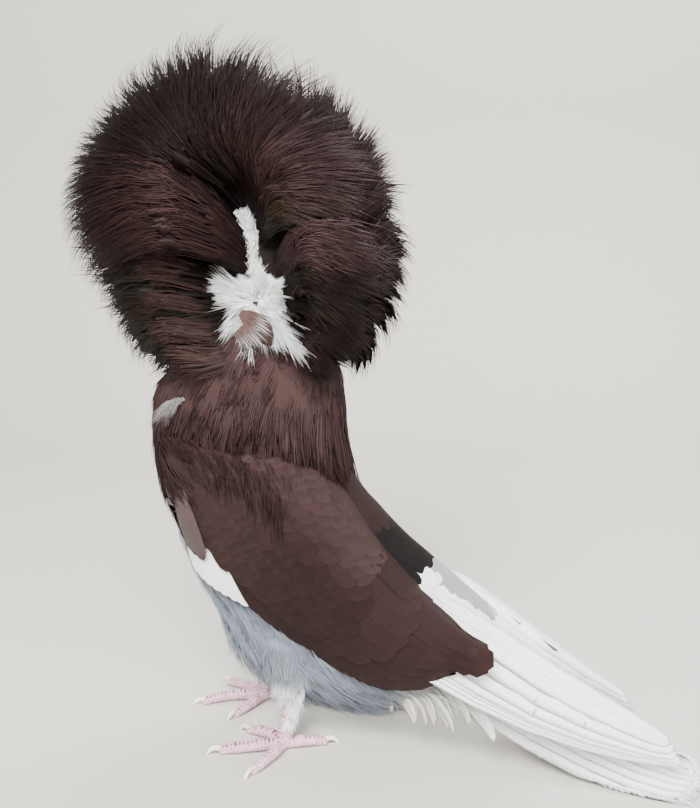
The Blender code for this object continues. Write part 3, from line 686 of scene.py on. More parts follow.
def make_skin(finish):
    solids = []
    v, phi = np.linspace(0, 1, 40), np.linspace(0, tau, 40, endpoint=False)
    solids.append(body_place(v[:, None], phi[None, :], -COAT_DEPTH)[0])
    solids.append(head_place(np.linspace(0, 1, 16)[:, None], phi[None, :], -0.0008)[0])
    for side in SIDES:
        row = between(WING, np.linspace(0.04, 0.96, 24))[:, None, :]
        middle, half = (row[..., :2] + row[..., 2:4]) / 2, (row[..., 2:4] - row[..., :2]) / 2 * 0.86
        x = side * (row[..., 4] + (row[..., 5] - row[..., 4]) * 0.80 * np.cos(phi))
        solids.append(np.concatenate([x[..., None], middle + half * np.sin(phi)[:, None]], axis=-1))
        leg = []
        for k, (wide, deep) in enumerate(((0.0120, 0.0140), (0.0115, 0.0140), (0.0088, 0.0105),
                                          (0.0050, 0.0056))):
            middle = THIGH_TOP[side] + (HOCK[side] - THIGH_TOP[side]) * k / 3
            leg.append(middle + np.stack([wide * np.cos(phi), deep * np.sin(phi), 0 * phi], axis=-1))
        solids.append(np.array(leg))
    root = []
    for along, half_x, half_z in ((0.0, 0.0085, 0.0080), (0.16, 0.0095, 0.0055), (0.32, 0.0090, 0.0018)):
        y, z, _, _ = between(TAIL, np.array(along))
        root.append(np.stack([half_x * np.cos(phi), y + 0 * phi, z - 0.006 + half_z * np.sin(phi)],
                             axis=-1))
    solids.append(np.array(root))
    turn = np.linspace(0.02, pi - 0.02, 20)[:, None]
    core = HOOD_CORE_CENTRE + 0.95 * HOOD_CORE_HALF * np.stack(
        [np.sin(turn) * np.cos(phi), np.sin(turn) * np.sin(phi), np.cos(turn) + 0 * phi], axis=-1)
    core[..., 1] = np.maximum(core[..., 1], -0.021)
    solids.append(core)
    points, faces = [], []
    for rings in solids:
        more, sides = ring_solid(rings)
        faces += [tuple(i + len(points) for i in f) for f in sides]
        points += more
    mesh = bpy.data.meshes.new("skin")
    mesh.from_pydata(points, [], faces)
    work = bmesh.new()
    work.from_mesh(mesh)
    bmesh.ops.recalc_face_normals(work, faces=work.faces)
    work.to_mesh(mesh)
    work.free()
    rough = bpy.data.objects.new("skin_rough", mesh)
    bpy.context.scene.collection.objects.link(rough)
    step = rough.modifiers.new("join", "REMESH")
    step.mode = "VOXEL"
    step.voxel_size = 0.0013
    step = rough.modifiers.new("ease", "SMOOTH")
    step.factor = 0.6
    step.iterations = 6
    graph = bpy.context.evaluated_depsgraph_get()
    eased = bpy.data.meshes.new_from_object(rough.evaluated_get(graph))
    bpy.data.objects.remove(rough)
    eased.calc_loop_triangles()
    faces = np.empty(len(eased.loop_triangles) * 3, np.int32)
    eased.loop_triangles.foreach_get("vertices", faces)
    places = np.empty(len(eased.vertices) * 3, np.float32)
    eased.vertices.foreach_get("co", places)
    places = places.reshape(-1, 3).astype(float)
    bpy.data.meshes.remove(eased)
    nodes = ("torso", "neck", "head", "thigh_left", "thigh_right")
    piece = mesh_piece("skin", places, faces.reshape(-1, 3), finish, nodes)
    colour_points(piece, skin_tint(places))
    return piece


# Ruff

# A lobe of the ruff's outer face: roots from (y, z) to (y, z), ends as (turn, share of the ruff's reach),
# the turns it leaves and ends by, the share by which its upper locks are shorter, how deep it lies, colour
# and part of all locks
Lobe = namedtuple("Lobe", "name roots ends launch finish layered deep colour part tip", defaults=(TIP,))
FAN_LOBES = (
    Lobe("fan_front", ((-0.005, 0.262), (0.001, 0.265)), ((-66, 1.01), (-24, 1.04)),
         (-38, -14), (-80, -28), 0.40, 0, DARK, 0.15),
    Lobe("fan_top", ((0.001, 0.265), (0.008, 0.264)), ((-26, 1.04), (24, 1.04)),
         (-14, 12), (-28, 28), 0.46, 0, DARK, 0.17),
    Lobe("fan_back", ((0.008, 0.264), (0.013, 0.259)), ((22, 1.04), (60, 1.03)),
         (12, 32), (26, 72), 0.34, 0, BROWN, 0.13),
    # The rear arcs end in pink tips, partly pink plumage and partly painted sheen
    Lobe("arc_back_high", ((0.011, 0.260), (0.012, 0.254)), ((56, 1.02), (85, 1.03)),
         (30, 22), (70, 114), 0.26, 0, PLUMAGE, 0.10, PINK_AND_SHEEN_TIP),
    Lobe("arc_back_low", ((0.011, 0.257), (0.012, 0.249)), ((83, 1.0), (96, 0.92)),
         (24, 34), (116, 138), 0.45, 0, OLIVE, 0.06, PINK_AND_SHEEN_TIP),
    Lobe("arc_back_near", ((0.009, 0.262), (0.011, 0.256)), ((80, 0.62), (92, 0.52)),
         (38, 50), (104, 124), 0.20, -0.0008, RED_BROWN, 0.012, PINK_AND_SHEEN_TIP),
)
LOW_LOBES = (
    Lobe("rim_front", ((-0.013, 0.238), (-0.008, 0.204)), ((-110, 0.93), (-162, 0.94)),
         (-70, -125), (-122, -172), 0.20, 0.0065, DARK_OLIVE, 0.10),
    Lobe("arc_front_high", ((-0.003, 0.260), (0.002, 0.250)), ((-62, 1.0), (-90, 1.0)),
         (-30, -26), (-84, -114), 0.22, 0, PLUMAGE, 0.12),
    Lobe("arc_front_low", ((0.001, 0.251), (0.005, 0.240)), ((-88, 1.0), (-115, 0.96)),
         (-24, -22), (-112, -138), 0.30, 0, PLUMAGE, 0.11),
    Lobe("arc_front_near", ((0.003, 0.247), (0.006, 0.233)), ((-104, 0.84), (-124, 0.62)),
         (-26, -46), (-116, -142), 0.20, -0.0004, PLUMAGE, 0.07),
    # This lobe keeps pink-brown tips, partly pink plumage and partly painted sheen
    Lobe("lobe_back_high", ((0.018, 0.241), (0.021, 0.232)), ((98, 1.04), (112, 1.05)),
         (46, 58), (138, 152), 0.28, 0, PINK_BROWN, 0.07, PINK_BROWN),
    Lobe("lobe_back_low", ((0.021, 0.231), (0.024, 0.218)), ((111, 1.05), (130, 1.05)),
         (62, 84), (150, 166), 0.34, 0, DARK_OLIVE, 0.09),
    Lobe("dark_back", ((0.024, 0.216), (0.026, 0.202)), ((127, 1.05), (146, 1.04)),
         (90, 120), (164, 180), 0.38, 0.0012, DARK, 0.07),
    Lobe("red_front_1", ((-0.014, 0.234), (-0.014, 0.228)), ((-131, 0.40), (-139, 0.45)),
         (-62, -78), (-128, -140), 0.18, 0, RED_BROWN, 0.022),
    Lobe("red_front_2", ((-0.013, 0.223), (-0.012, 0.216)), ((-147, 0.49), (-155, 0.56)),
         (-80, -95), (-140, -155), 0.18, 0, RED_BROWN, 0.022),
    Lobe("red_front_3", ((-0.010, 0.211), (-0.009, 0.204)), ((-158, 0.66), (-163, 0.76)),
         (-100, -120), (-152, -164), 0.18, 0, RED_BROWN, 0.024),
    Lobe("red_front_4", ((-0.006, 0.200), (-0.002, 0.195)), ((-166, 0.84), (-170, 0.96)),
         (-125, -145), (-162, -174), 0.18, 0, RED_BROWN, 0.024),
)
LOCKS_A_SIDE = 530
INNER_LOCKS_A_SIDE = 420
STRANDS_A_LOCK = 10
LOCK_STATIONS = np.array((0.0, 0.14, 0.36, 0.62, 0.86, 1.0))
DOME_HIGH = 0.069
DOME_FALL = 0.93
ROSE_RISE = 0.030


def lock_strands(coat, ctrl, outward, half_width, tone, roots, strands=9, deep=0.5):
    """Flat bundles of fine strands round their axes in space, each over one vane whose tone is darkened by
    deep as painted shade between the strands.
    """
    count = len(ctrl[0])
    stations = np.array((0.0, 0.25, 0.55, 0.82, 1.0))
    t = (stations * rng.uniform(0.78, 1.0, (count, strands, 1))).reshape(-1, len(stations))
    across = (np.linspace(-1, 1, strands) + rng.normal(0, 0.12, (count, strands))).reshape(-1, 1)
    many = [np.repeat(p, strands, axis=0) for p in ctrl]
    path = bezier(*many, t)
    out = np.repeat(outward, strands, axis=0)[:, None, :]
    side = unit(np.cross(unit(np.gradient(path, axis=1)), out))
    belly = np.sin(pi * np.clip(t * 0.78 + 0.06, 0, 1)) ** 0.8
    wide = np.repeat(half_width, strands)[:, None] * belly * across
    length = np.linalg.norm(many[3] - many[0], axis=-1)[:, None, None]
    loose = (t ** 3)[..., None] * length * 0.022
    path = path + side * wide[..., None] + rng.normal(0, 1, (len(path), 1, 3)) * loose
    half = rng.uniform(0.00020, 0.00034, (len(path), 1)) * np.array((1.0, 1.3, 1.1, 0.7))
    shade = np.repeat(tone, strands, axis=0) * rng.uniform(0.65, 1.35, (len(path), 1))
    coat.add(path, side, STRAND, half, half * 0.8, strand_tints(shade, t),
             np.repeat(roots, strands, axis=0))
    fill_t = np.array((0.0, 0.2, 0.42, 0.62, 0.80))
    fill = bezier(*ctrl, np.broadcast_to(fill_t, (count, len(fill_t)))) - outward[:, None, :] * 0.0004
    side = np.cross(unit(np.gradient(fill, axis=1)), outward[:, None, :])
    wide = half_width[:, None] * np.array((0.22, 0.75, 0.95, 0.7))
    # Painted shade: the vane under the strands takes the lock's tone darkened by deep
    coat.add(fill, side, FLAT, wide, 0.00022, tone[:, None, :] * deep, roots)


def outer_locks(coat, side, lobes):
    for lobe in lobes:
        count = int(LOCKS_A_SIDE * lobe.part * DENSITY)
        across = (np.arange(count) + rng.random(count)) / count
        layer = rng.random(count) ** 0.8
        end = mix(lobe.ends[0], lobe.ends[1], across)
        turn = np.radians(end[:, 0]) + rng.normal(0, 0.03, count)
        reach = end[:, 1] * (1 - lobe.layered * layer ** 1.5) * rng.uniform(0.96, 1.04, count)
        tip = HOOD_CENTRE[1:] + plane_direction(turn) * (reach * hood_reach(turn))[:, None]
        root = mix(lobe.roots[0], lobe.roots[1], across) + rng.normal(0, 0.0010, (count, 2))
        length = np.linalg.norm(tip - root, axis=-1, keepdims=True) * 0.42
        bend = np.column_stack([lobe.launch, lobe.finish])
        bend = np.radians(mix(bend[0], bend[1], across) + rng.normal(0, 4, (count, 2)))
        ctrl = (root, root + plane_direction(bend[:, 0]) * length,
                tip - plane_direction(bend[:, 1]) * length, tip)
        depth = 0.0004 + lobe.deep + 0.0062 * (1 - layer)
        tone = np.asarray(lobe.colour) * rng.uniform(0.65, 1.35, (count, 1))
        tone = mix(tone, BROWN, rng.random(count) * 0.4)
        roots = np.column_stack([turn / tau % 1.0, 0.30 + 0.55 * reach])
        dome_locks(coat, side, ctrl, depth, rng.uniform(0.0020, 0.0034, count), tone, roots, lobe.tip)


def plane_direction(turn):
    return np.stack([np.sin(turn), np.cos(turn)], axis=-1)


def on_dome(side, plane, depth):
    """Points on the ruff's domed outer face over plane points (y, z) of paths that leave the rose."""
    off = plane - HOOD_CENTRE[1:]
    turn = np.arctan2(off[..., 0], off[..., 1])
    reach = hood_reach(turn)
    share = np.linalg.norm(off, axis=-1) / reach
    dome = DOME_HIGH * np.sqrt(np.clip(1 - (DOME_FALL * share) ** 2, 0.03, 1)) - depth
    run = np.linalg.norm(plane - plane[..., :1, :], axis=-1)
    x = side * (ROSE_X + (dome - ROSE_X) * smooth(0, ROSE_RISE, run))
    out = np.concatenate([(x / DOME_HIGH ** 2)[..., None], off * ((DOME_FALL / reach) ** 2)[..., None]],
                         axis=-1)
    return np.concatenate([x[..., None], plane], axis=-1), unit(out)


def dome_locks(coat, side, ctrl, depth, half_width, tone, roots, tip):
    """Flat bundles of fine strands over the domed face, each over one vane that fills it, darkened to half
    its tone as painted shade between the strands.
    """
    strands, stations = STRANDS_A_LOCK, LOCK_STATIONS
    count = len(ctrl[0])
    t = (stations * rng.uniform(0.78, 1.0, (count, strands, 1))).reshape(-1, len(stations))
    across = (np.linspace(-1, 1, strands) + rng.normal(0, 0.14, (count, strands))).reshape(-1, 1)
    many = [np.repeat(p, strands, axis=0) for p in ctrl]
    plane = bezier(*many, t)
    onward = unit(np.gradient(plane, axis=1))
    cross = np.stack([onward[..., 1], -onward[..., 0]], axis=-1)
    belly = np.sin(pi * np.clip(t * 0.62 + 0.08, 0, 1)) ** 0.8
    length = np.linalg.norm(many[3] - many[0], axis=-1)[:, None]
    fray = rng.normal(0, 0.045, (len(t), 1)) * length * t ** 3
    offset = np.repeat(half_width, strands)[:, None] * belly * across + fray
    loose = rng.normal(0.4, 1, (len(t), 1)) * 0.0022 * t ** 4
    deep = np.repeat(depth, strands)[:, None] + 0.0007 * across ** 2 - loose
    path, out = on_dome(side, plane + cross * offset[..., None], deep)
    half = rng.uniform(0.00016, 0.00030, (len(path), 1)) * np.array((1.0, 1.4, 1.4, 1.0, 0.5))
    shade = np.repeat(tone, strands, axis=0) * rng.uniform(0.62, 1.42, (len(path), 1))
    tints = strand_tints(shade, t, tip)
    sides = np.cross(unit(np.gradient(path, axis=1)), out)
    coat.add(path, sides, STRAND, half, half * 0.8, tints, np.repeat(roots, strands, axis=0))
    fill_t = np.broadcast_to(np.array((0.0, 0.2, 0.42, 0.62, 0.80)), (count, 5))
    path, out = on_dome(side, bezier(*ctrl, fill_t), depth[:, None] + 0.0009 + 0 * fill_t)
    sides = np.cross(unit(np.gradient(path, axis=1)), out)
    wide = half_width[:, None] * np.array((0.25, 0.85, 1.0, 0.75))
    # Painted shade: the filling vane takes half the lock's tone, so the gaps between strands look shaded
    coat.add(path, sides, FLAT, wide, 0.00022, tone[:, None, :] * 0.5, roots)


def strand_tints(shade, t, tip=TIP):
    """Colours along strands: a little paler at the ends, and some with a pale point."""
    tints = mix(shade[:, None, :] * (0.75 + 0.25 * smooth(0.05, 0.4, t))[..., None], tip,
                0.5 * smooth(0.5, 1.0, t))
    points = smooth(0.92, 1.0, t) * (rng.random((len(t), 1)) < 0.22)
    return mix(tints, PALE_TIP, 0.35 * points)


def inner_locks(coat, side):
    """Locks under the outer face, out to the tips all round, with the face and the neck left open."""
    count = int(INNER_LOCKS_A_SIDE * DENSITY)
    spots, more = spread_points(count, (0, -3), (360, 46))
    turn, lateral = np.radians(spots[:, 0]), np.radians(-3 + 49 * ((spots[:, 1] + 3) / 49) ** 1.4)
    tip = hood_tip(side, lateral, turn, 0.93 + 0.08 * more)
    in_face = (turn > FACE_SECTOR[0]) & (turn < FACE_SECTOR[1])
    keep = (tip[:, 2] > LOWEST_LOCK) & ~in_neck(tip, 0.003) & ~(in_face & (lateral < CHIN_LATERAL))
    keep &= ~((np.abs(turn - pi) < radians(48)) & (lateral > radians(20)))
    turn, lateral, tip, in_face = turn[keep], lateral[keep], tip[keep], in_face[keep]
    count = len(turn)
    root_lateral = radians(2) + 0.85 * lateral
    root_lateral = np.where(in_face, np.maximum(root_lateral, CHEEK_LATERAL), root_lateral)
    normal = hood_direction(side, root_lateral, turn)
    root = HOOD_CORE_CENTRE + 0.9 * HOOD_CORE_HALF * normal
    length = np.linalg.norm(tip - root, axis=-1, keepdims=True)
    push = smooth(0, radians(14), lateral)
    outward = unit(normal + np.column_stack([side * 0.3 * push, 0 * push, 0 * push]))
    lean = np.column_stack([side * 0.1 * push, -0.15 + 0 * push, 0 * push])
    finish = unit(hood_direction(side, lateral * 0.8, turn) + lean)
    ctrl = (root, root + outward * length * 0.38, tip - finish * length * 0.36, tip)
    tone = mix(DARK, BROWN, rng.random(count)) * rng.uniform(1.0, 2.0, (count, 1))
    face = unit(normal + hood_direction(side, lateral + radians(60), turn))
    roots = np.column_stack([turn / tau % 1.0, 0.3 * np.abs(lateral) / radians(50)])
    lock_strands(coat, ctrl, face, rng.uniform(0.0030, 0.0046, count), tone, roots)
    face_lining(coat, side)


def face_lining(coat, side):
    """Short dark feathers that flare forward and out from the head, and line the ruff's opening."""
    count = int(150 * DENSITY)
    phi = rng.uniform(-0.5, 0.5, count) * pi * 1.04
    ring = rng.random(count)
    out = np.column_stack([side * np.cos(phi), 0 * phi, np.sin(phi)])
    away = np.column_stack([0.020 + 0.012 * ring, 0 * ring, 0.023 + 0.015 * ring])
    root = np.array((0.0, -0.0185, 0.249)) + out * away
    forward = np.array((0.0, -1.0, 0.0))
    length = (0.020 + 0.020 * ring)[:, None] * rng.uniform(0.85, 1.15, (count, 1))
    tip = root + unit(out * 0.9 + forward * 0.45) * length
    ctrl = (root, root + (forward + out) * length * 0.25, tip - unit(out + forward * 0.3) * length * 0.35,
            tip)
    tone = mix(BROWN, RED_BROWN, rng.random(count)) * rng.uniform(0.9, 1.4, (count, 1))
    roots = np.column_stack([phi / tau % 1.0, 0.02 + 0.05 * ring])
    lock_strands(coat, ctrl, unit(forward - out), rng.uniform(0.0026, 0.0036, count), tone, roots)


# White star of down at the centre of each rose: ends of its arms as (y, z)
STAR_CENTRE = (0.0065, 0.2230)
STAR_ARMS = (
    (-0.021, 0.2345), (-0.011, 0.223), (-0.009, 0.205), (0.005, 0.194), (0.020, 0.199), (0.032, 0.197),
             (0.022, 0.216),
    (0.022, 0.232), (0.010, 0.240),
)
# The narrow white strip above it, and the patch that the fan grows from
STRIP = ((0.0015, 0.2655), (0.0035, 0.2585), (0.0060, 0.2510), (0.0075, 0.2430), (0.0078, 0.2350))
STRIP_HALF = (0.0040, 0.0028, 0.0013, 0.0011, 0.0016)


def star_tufts(coat, side):
    """White down that runs out from the middle of the rose along its arms and up the strip."""
    centre, arms = np.asarray(STAR_CENTRE), np.asarray(STAR_ARMS)
    count = int(420 * DENSITY)
    arm = rng.integers(0, len(arms), count)
    run = rng.random(count) ** 0.75
    onward = unit(arms[arm] - centre)
    cross = np.column_stack([-onward[:, 1], onward[:, 0]])
    reach = np.linalg.norm(arms[arm] - centre, axis=-1, keepdims=True)
    sway = rng.uniform(-1, 1, count) * (1 - run) ** 1.3
    where = centre + onward * reach * (run * 0.75)[:, None] + cross * (sway * 0.0075)[:, None]
    flow = unit(onward * 1.2 + cross * (sway * 0.8)[:, None] + rng.normal(0, 0.12, (count, 2)))
    length = reach * rng.uniform(0.34, 0.72, (count, 1)) * (1.15 - 0.50 * run)[:, None]
    share = rng.random(int(150 * DENSITY))
    line, wide = between(STRIP, share), between(np.asarray(STRIP_HALF)[:, None], share)
    up = np.column_stack([rng.normal(-0.15, 0.3, len(share)),
                          np.where(rng.random(len(share)) < 0.5, 1, -1)])
    where = np.concatenate([where, line + np.column_stack([rng.uniform(-1, 1, len(share)) * wide[:, 0],
                                                           0 * share])])
    flow = np.concatenate([flow, unit(up)])
    length = np.concatenate([length, rng.uniform(0.004, 0.008, (len(share), 1))])
    count = len(where)
    root = np.column_stack([side * (ROSE_X - 0.001 + 0.0015 * rng.random(count)), where])
    ahead = np.column_stack([np.zeros(count), flow])
    out = np.array((side, 0.0, 0.0))
    tip = root + ahead * length + out * rng.uniform(0.0015, 0.0035, (count, 1))
    ctrl = (root, root + out * 0.002 + ahead * length * 0.3, tip - ahead * length * 0.4, tip)
    tone = np.full((count, 3), WHITE) * (1 - 0.5 * rng.random((count, 1)) ** 2)
    roots = np.column_stack([0.5 + where[:, 0] * 4, 0.5 + (where[:, 1] - 0.22) * 4])
    fine_tufts(coat, ctrl, np.tile(out, (count, 1)), 0.0015, tone, roots, 7, 0.00011, 0.09)




def oval_feather(coat, side):
    """The one broad reddish feather that lies over the lower white, striped towards its tip."""
    t = CONTOUR_STATIONS
    long = np.array((0.0150, -0.0150))
    line = np.array((0.0010, 0.2165)) + long * t[:, None] + 0.0022 * np.sin(pi * t)[:, None]
    high = ROSE_X + 0.0026 + 0.0024 * np.sin(pi * t ** 0.8)
    path = np.column_stack([side * high, line])[None]
    across = np.cross(unit(np.gradient(path, axis=1)), (side, 0.0, 0.0))
    tint = mix(OVAL_RED, BROWN, 0.9 * smooth(0.4, 0.9, t))[None]
    coat.add(path, across, VANE, 0.0052 * CONTOUR_WIDTHS, 0.0006, tint, np.array(((0.5, 0.45),)))
    count = 60
    spread = np.linspace(-1, 1, count)
    start = np.column_stack([0.0045 + 0.0050 * spread, 0.2125 + 0.0050 * spread])
    root = np.column_stack([np.full(count, side * (ROSE_X + 0.0060)), start])
    flow = unit(np.column_stack([0 * spread, 0.80 + 0.25 * spread, -0.75 + 0.35 * spread]))
    length = rng.uniform(0.012, 0.016, (count, 1)) * (1 - 0.35 * spread[:, None] ** 2)
    tip = root + flow * length + np.array((side * -0.0012, 0, 0))
    ctrl = (root, root + flow * length * 0.3 + (side * 0.001, 0, 0), tip - flow * length * 0.3, tip)
    striped = np.where((np.arange(count) % 4 < 2)[:, None], WHITE, BROWN)
    tip_tint = np.repeat(striped, 2, axis=0)[:, None, :]
    tone = np.asarray(OVAL_RED) * rng.uniform(0.6, 1.1, (count, 1))
    fine_tufts(coat, ctrl, np.tile((side, 0.0, 0.0), (count, 1)), 0.0002, tone, np.full((count, 2), 0.45),
               2, 0.00020, 0.012,
               tip_tint)


def fine_tufts(coat, ctrl, outward, half_width, tone, roots, strands, half=0.00022, fray=0.06,
               tip_tint=None):
    """Small tufts of down, each a few fine strands that part towards their tips."""
    count = len(ctrl[0])
    stations = np.array((0.0, 0.34, 0.68, 1.0))
    t = stations * rng.uniform(0.7, 1.0, (count * strands, 1))
    many = [np.repeat(p, strands, axis=0) for p in ctrl]
    path = bezier(*many, t)
    out = np.repeat(outward, strands, axis=0)[:, None, :]
    side = unit(np.cross(unit(np.gradient(path, axis=1)), out))
    across = rng.uniform(-1, 1, (len(path), 1, 1)) * half_width * (0.3 + t[..., None])
    length = np.linalg.norm(many[3] - many[0], axis=-1)[:, None, None]
    path = path + side * across + rng.normal(0, 1, (len(path), 1, 3)) * length * fray * t[..., None] ** 2
    wide = half * rng.uniform(0.8, 1.3, (len(path), 1)) * np.array((1.0, 1.1, 0.7))
    shade = np.repeat(tone, strands, axis=0)[:, None, :] * rng.uniform(0.85, 1.15, (len(path), 1, 1))
    tints = shade if tip_tint is None else mix(shade, tip_tint, smooth(0.3, 1.0, t))
    coat.add(path, side, STRAND, wide, wide * 0.8, tints, np.repeat(roots, strands, axis=0))


# Contour feathers

CONTOUR_STATIONS = np.array((0.0, 0.22, 0.46, 0.68, 0.85, 0.95, 1.0))
CONTOUR_WIDTHS = np.array((0.35, 0.75, 1.0, 0.96, 0.72, 0.40))
COVERT_WIDTHS = np.array((0.35, 0.80, 1.0, 1.0, 0.88, 0.58))


def body_feathers(coat, count, low, high, long, wide, tint_of, lift=0.0011, stray=0.10, pick=None):
    """Small vanes over the trunk and neck, which follow it down and back and overlap as shingles."""
    spots, chance = spread_points(int(count * DENSITY), low, high)
    v, phi = spots[:, 0], spots[:, 1]
    place, _, run, turn = body_place(v, phi)
    area = np.linalg.norm(np.cross(run, turn), axis=-1)
    keep = chance < area / np.quantile(area, 0.97)
    if pick is not None:
        keep &= pick(place)
    v, phi, place, run = v[keep], phi[keep], place[keep], run[keep]
    count = len(v)
    length = rng.uniform(*long, count)
    speed = np.linalg.norm(run, axis=-1)
    dv = np.minimum(length / np.maximum(speed, 0.02), 1.0 - v)
    drift = rng.normal(0, stray, count)
    t = CONTOUR_STATIONS
    heights = lift * (1.1 * t - 0.6 + rng.uniform(0, 0.12, (count, 1)))
    half = rng.uniform(*wide, count)[:, None] * CONTOUR_WIDTHS
    tone = tint_of(place) * rng.uniform(0.86, 1.16, (count, 1))
    edge = smooth(0.7, 1.0, t)[None, :, None]
    tints = tone[:, None, :] * (0.90 + 0.10 * smooth(0.2, 0.7, t)[None, :, None]) * (1 + 0.14 * edge)
    roots = np.column_stack([v, phi / tau % 1.0])
    coat.drape(on_body, v[:, None] + dv[:, None] * t, phi[:, None] + (drift * length * 20)[:, None] * t,
               heights,
               VANE, half, 0.00008, 0.00010, tints, roots)


def neck_tint(points):
    return mix(np.tile(PLUMAGE, (len(points), 1)), NECK, smooth(0.160, 0.190, points[:, 2]))


def neck_plumes(coat):
    """Soft locks that run down the neck over its feathers and end in loose strands."""
    spots, _ = spread_points(int(380 * DENSITY), (0.0, 0.0), (0.40, tau))
    v, phi = spots.T
    count = len(v)
    long = rng.uniform(0.022, 0.036, count)
    speed = np.linalg.norm(body_place(v, phi)[2], axis=-1)
    sway = rng.normal(0, 0.13, count) + 0.12 * np.cos(phi)
    ctrl = []
    for share, high in ((0.0, -0.0006), (0.33, 0.0010), (0.67, 0.0014), (1.0, 0.0016)):
        ctrl.append(body_place(v + long / speed * share, phi + sway * share, np.full(count, high))[0])
    normal = body_place(v, phi)[1]
    tone = neck_tint(ctrl[0]) * rng.uniform(0.9, 1.15, (count, 1))
    roots = np.column_stack([v, phi / tau])
    lock_strands(coat, ctrl, normal, rng.uniform(0.0032, 0.0046, count), tone, roots, 9, 0.85)


def neck_vanes(coat):
    """Broad soft feathers that start below each rose and lie over the neck."""
    for side in SIDES:
        count = 22
        share = (np.arange(count) * 0.618) % 1.0
        phi = (share - 0.5) * 1.9
        v = 0.01 + 0.24 * np.arange(count)[::-1] / count
        t = CONTOUR_STATIONS
        phis = phi[:, None] * (1 + 0.12 * t)
        phis = phis if side == LEFT else pi - phis
        long = rng.uniform(0.12, 0.16, (count, 1))
        heights = -0.0002 + 0.0016 * t * (1.3 - t) + rng.uniform(0, 0.0006, (count, 1))
        tone = neck_tint(on_body(v, phis[:, 0], 0.0 * v)) * rng.uniform(0.9, 1.15, (count, 1))
        tints = tone[:, None, :] * (1.15 - 0.25 * t[None, :, None])
        roots = np.column_stack([v, phi / tau % 1.0])
        coat.drape(on_body, v[:, None] + long * t, phis, heights, VANE,
                   rng.uniform(0.0050, 0.0066, (count, 1)) * COVERT_WIDTHS, 0.00012, 0.0, tints, roots)


def dress_body(finish, down, strands):
    coat = Coat()
    neck_vanes(coat)
    body_feathers(coat, 900, (0.0, -0.5), (0.36, tau - 0.5), (0.016, 0.022), (0.0036, 0.0050), neck_tint,
                  0.0012)
    coat.build("neck_feathers", finish)
    coat = Coat()
    neck_plumes(coat)
    coat.build("neck_plumes", strands)
    coat = Coat()
    body_feathers(coat, 2600, (0.30, -0.5), (0.97, tau - 0.5), (0.016, 0.024), (0.0036, 0.0052),
                  trunk_tint, 0.0008,
                  pick=off_wings)
    coat.build("trunk_feathers", finish)
    coat = Coat()
    belly_fluff(coat)
    coat.build("belly_down", down)
    coat = Coat()
    shoulder_tuft(coat)
    coat.build("loose_tufts", down)


def belly_fluff(coat):
    """Loose blue-grey down over the belly and thighs, cream towards the vent, with painted shade low down.
    """
    spots, chance = spread_points(int(1600 * DENSITY), (0.50, 0.0), (0.99, pi))
    v, phi = spots[:, 0], spots[:, 1]
    phi = (phi - pi / 2) * 1.25 + pi / 2
    place, normal, run, turn = body_place(v, phi, -0.001)
    area = np.linalg.norm(np.cross(run, turn), axis=-1)
    keep = (chance < area / np.quantile(area, 0.95)) & (place[:, 2] < 0.082 + 0.2 * chance)
    place, normal, run = place[keep], normal[keep], run[keep]
    count = len(place)
    flow = unit(unit(run) + np.array((0, 0.15, -0.30)) + rng.normal(0, 0.12, (count, 3)))
    flow = unit(flow - normal * dot(flow, normal) * 0.9)
    length = rng.uniform(0.016, 0.026, (count, 1))
    lift = rng.uniform(0.0006, 0.0036, (count, 1))
    tip = place + flow * length + normal * lift
    tip[:, 2] = np.maximum(tip[:, 2], 0.006)
    ctrl = (place, place + (flow * 0.3 + normal * 0.20) * length, tip - flow * length * 0.35, tip)
    # Painted shade: the down and its pale tips are darkened towards the floor, where the lower belly lies
    # in shadow
    shade = rng.uniform(0.85, 1.15, count) * (0.45 + 0.55 * smooth(0.018, 0.06, place[:, 2]))
    tone = mix(BLUE_GREY, CREAM, smooth(0.060, 0.085, place[:, 1])) * shade[:, None]
    pale = np.asarray(PALE_DOWN) * np.repeat(shade, 9)[:, None, None]
    roots = np.column_stack([v[keep], phi[keep] / tau % 1.0])
    fine_tufts(coat, ctrl, normal, 0.0026, tone, roots, 9, 0.00013, 0.06, pale)


def shoulder_tuft(coat):
    """The small pale tuft that stands out at the top of the left shoulder."""
    count = 22
    share = rng.random((count, 1))
    spread = share * np.array((0.002, -0.005, -0.004)) + rng.normal(0, 0.0007, (count, 3))
    root = np.array((0.0335, -0.0300, 0.1755)) + spread
    flow = unit(np.array((0.20, -0.72, -0.62)) + rng.normal(0, 0.12, (count, 3)))
    length = rng.uniform(0.012, 0.018, (count, 1))
    tip = root + flow * length
    ctrl = (root, root + unit(flow + (0.2, -0.5, 0.8)) * length * 0.35, tip - flow * length * 0.35, tip)
    tone = mix((0.25, 0.23, 0.24), (0.06, 0.045, 0.045), rng.random(count))
    fine_tufts(coat, ctrl, np.tile((1.0, 0.0, 0.3), (count, 1)), 0.0016, tone, np.full((count, 2), 0.15),
               8, 0.00013)


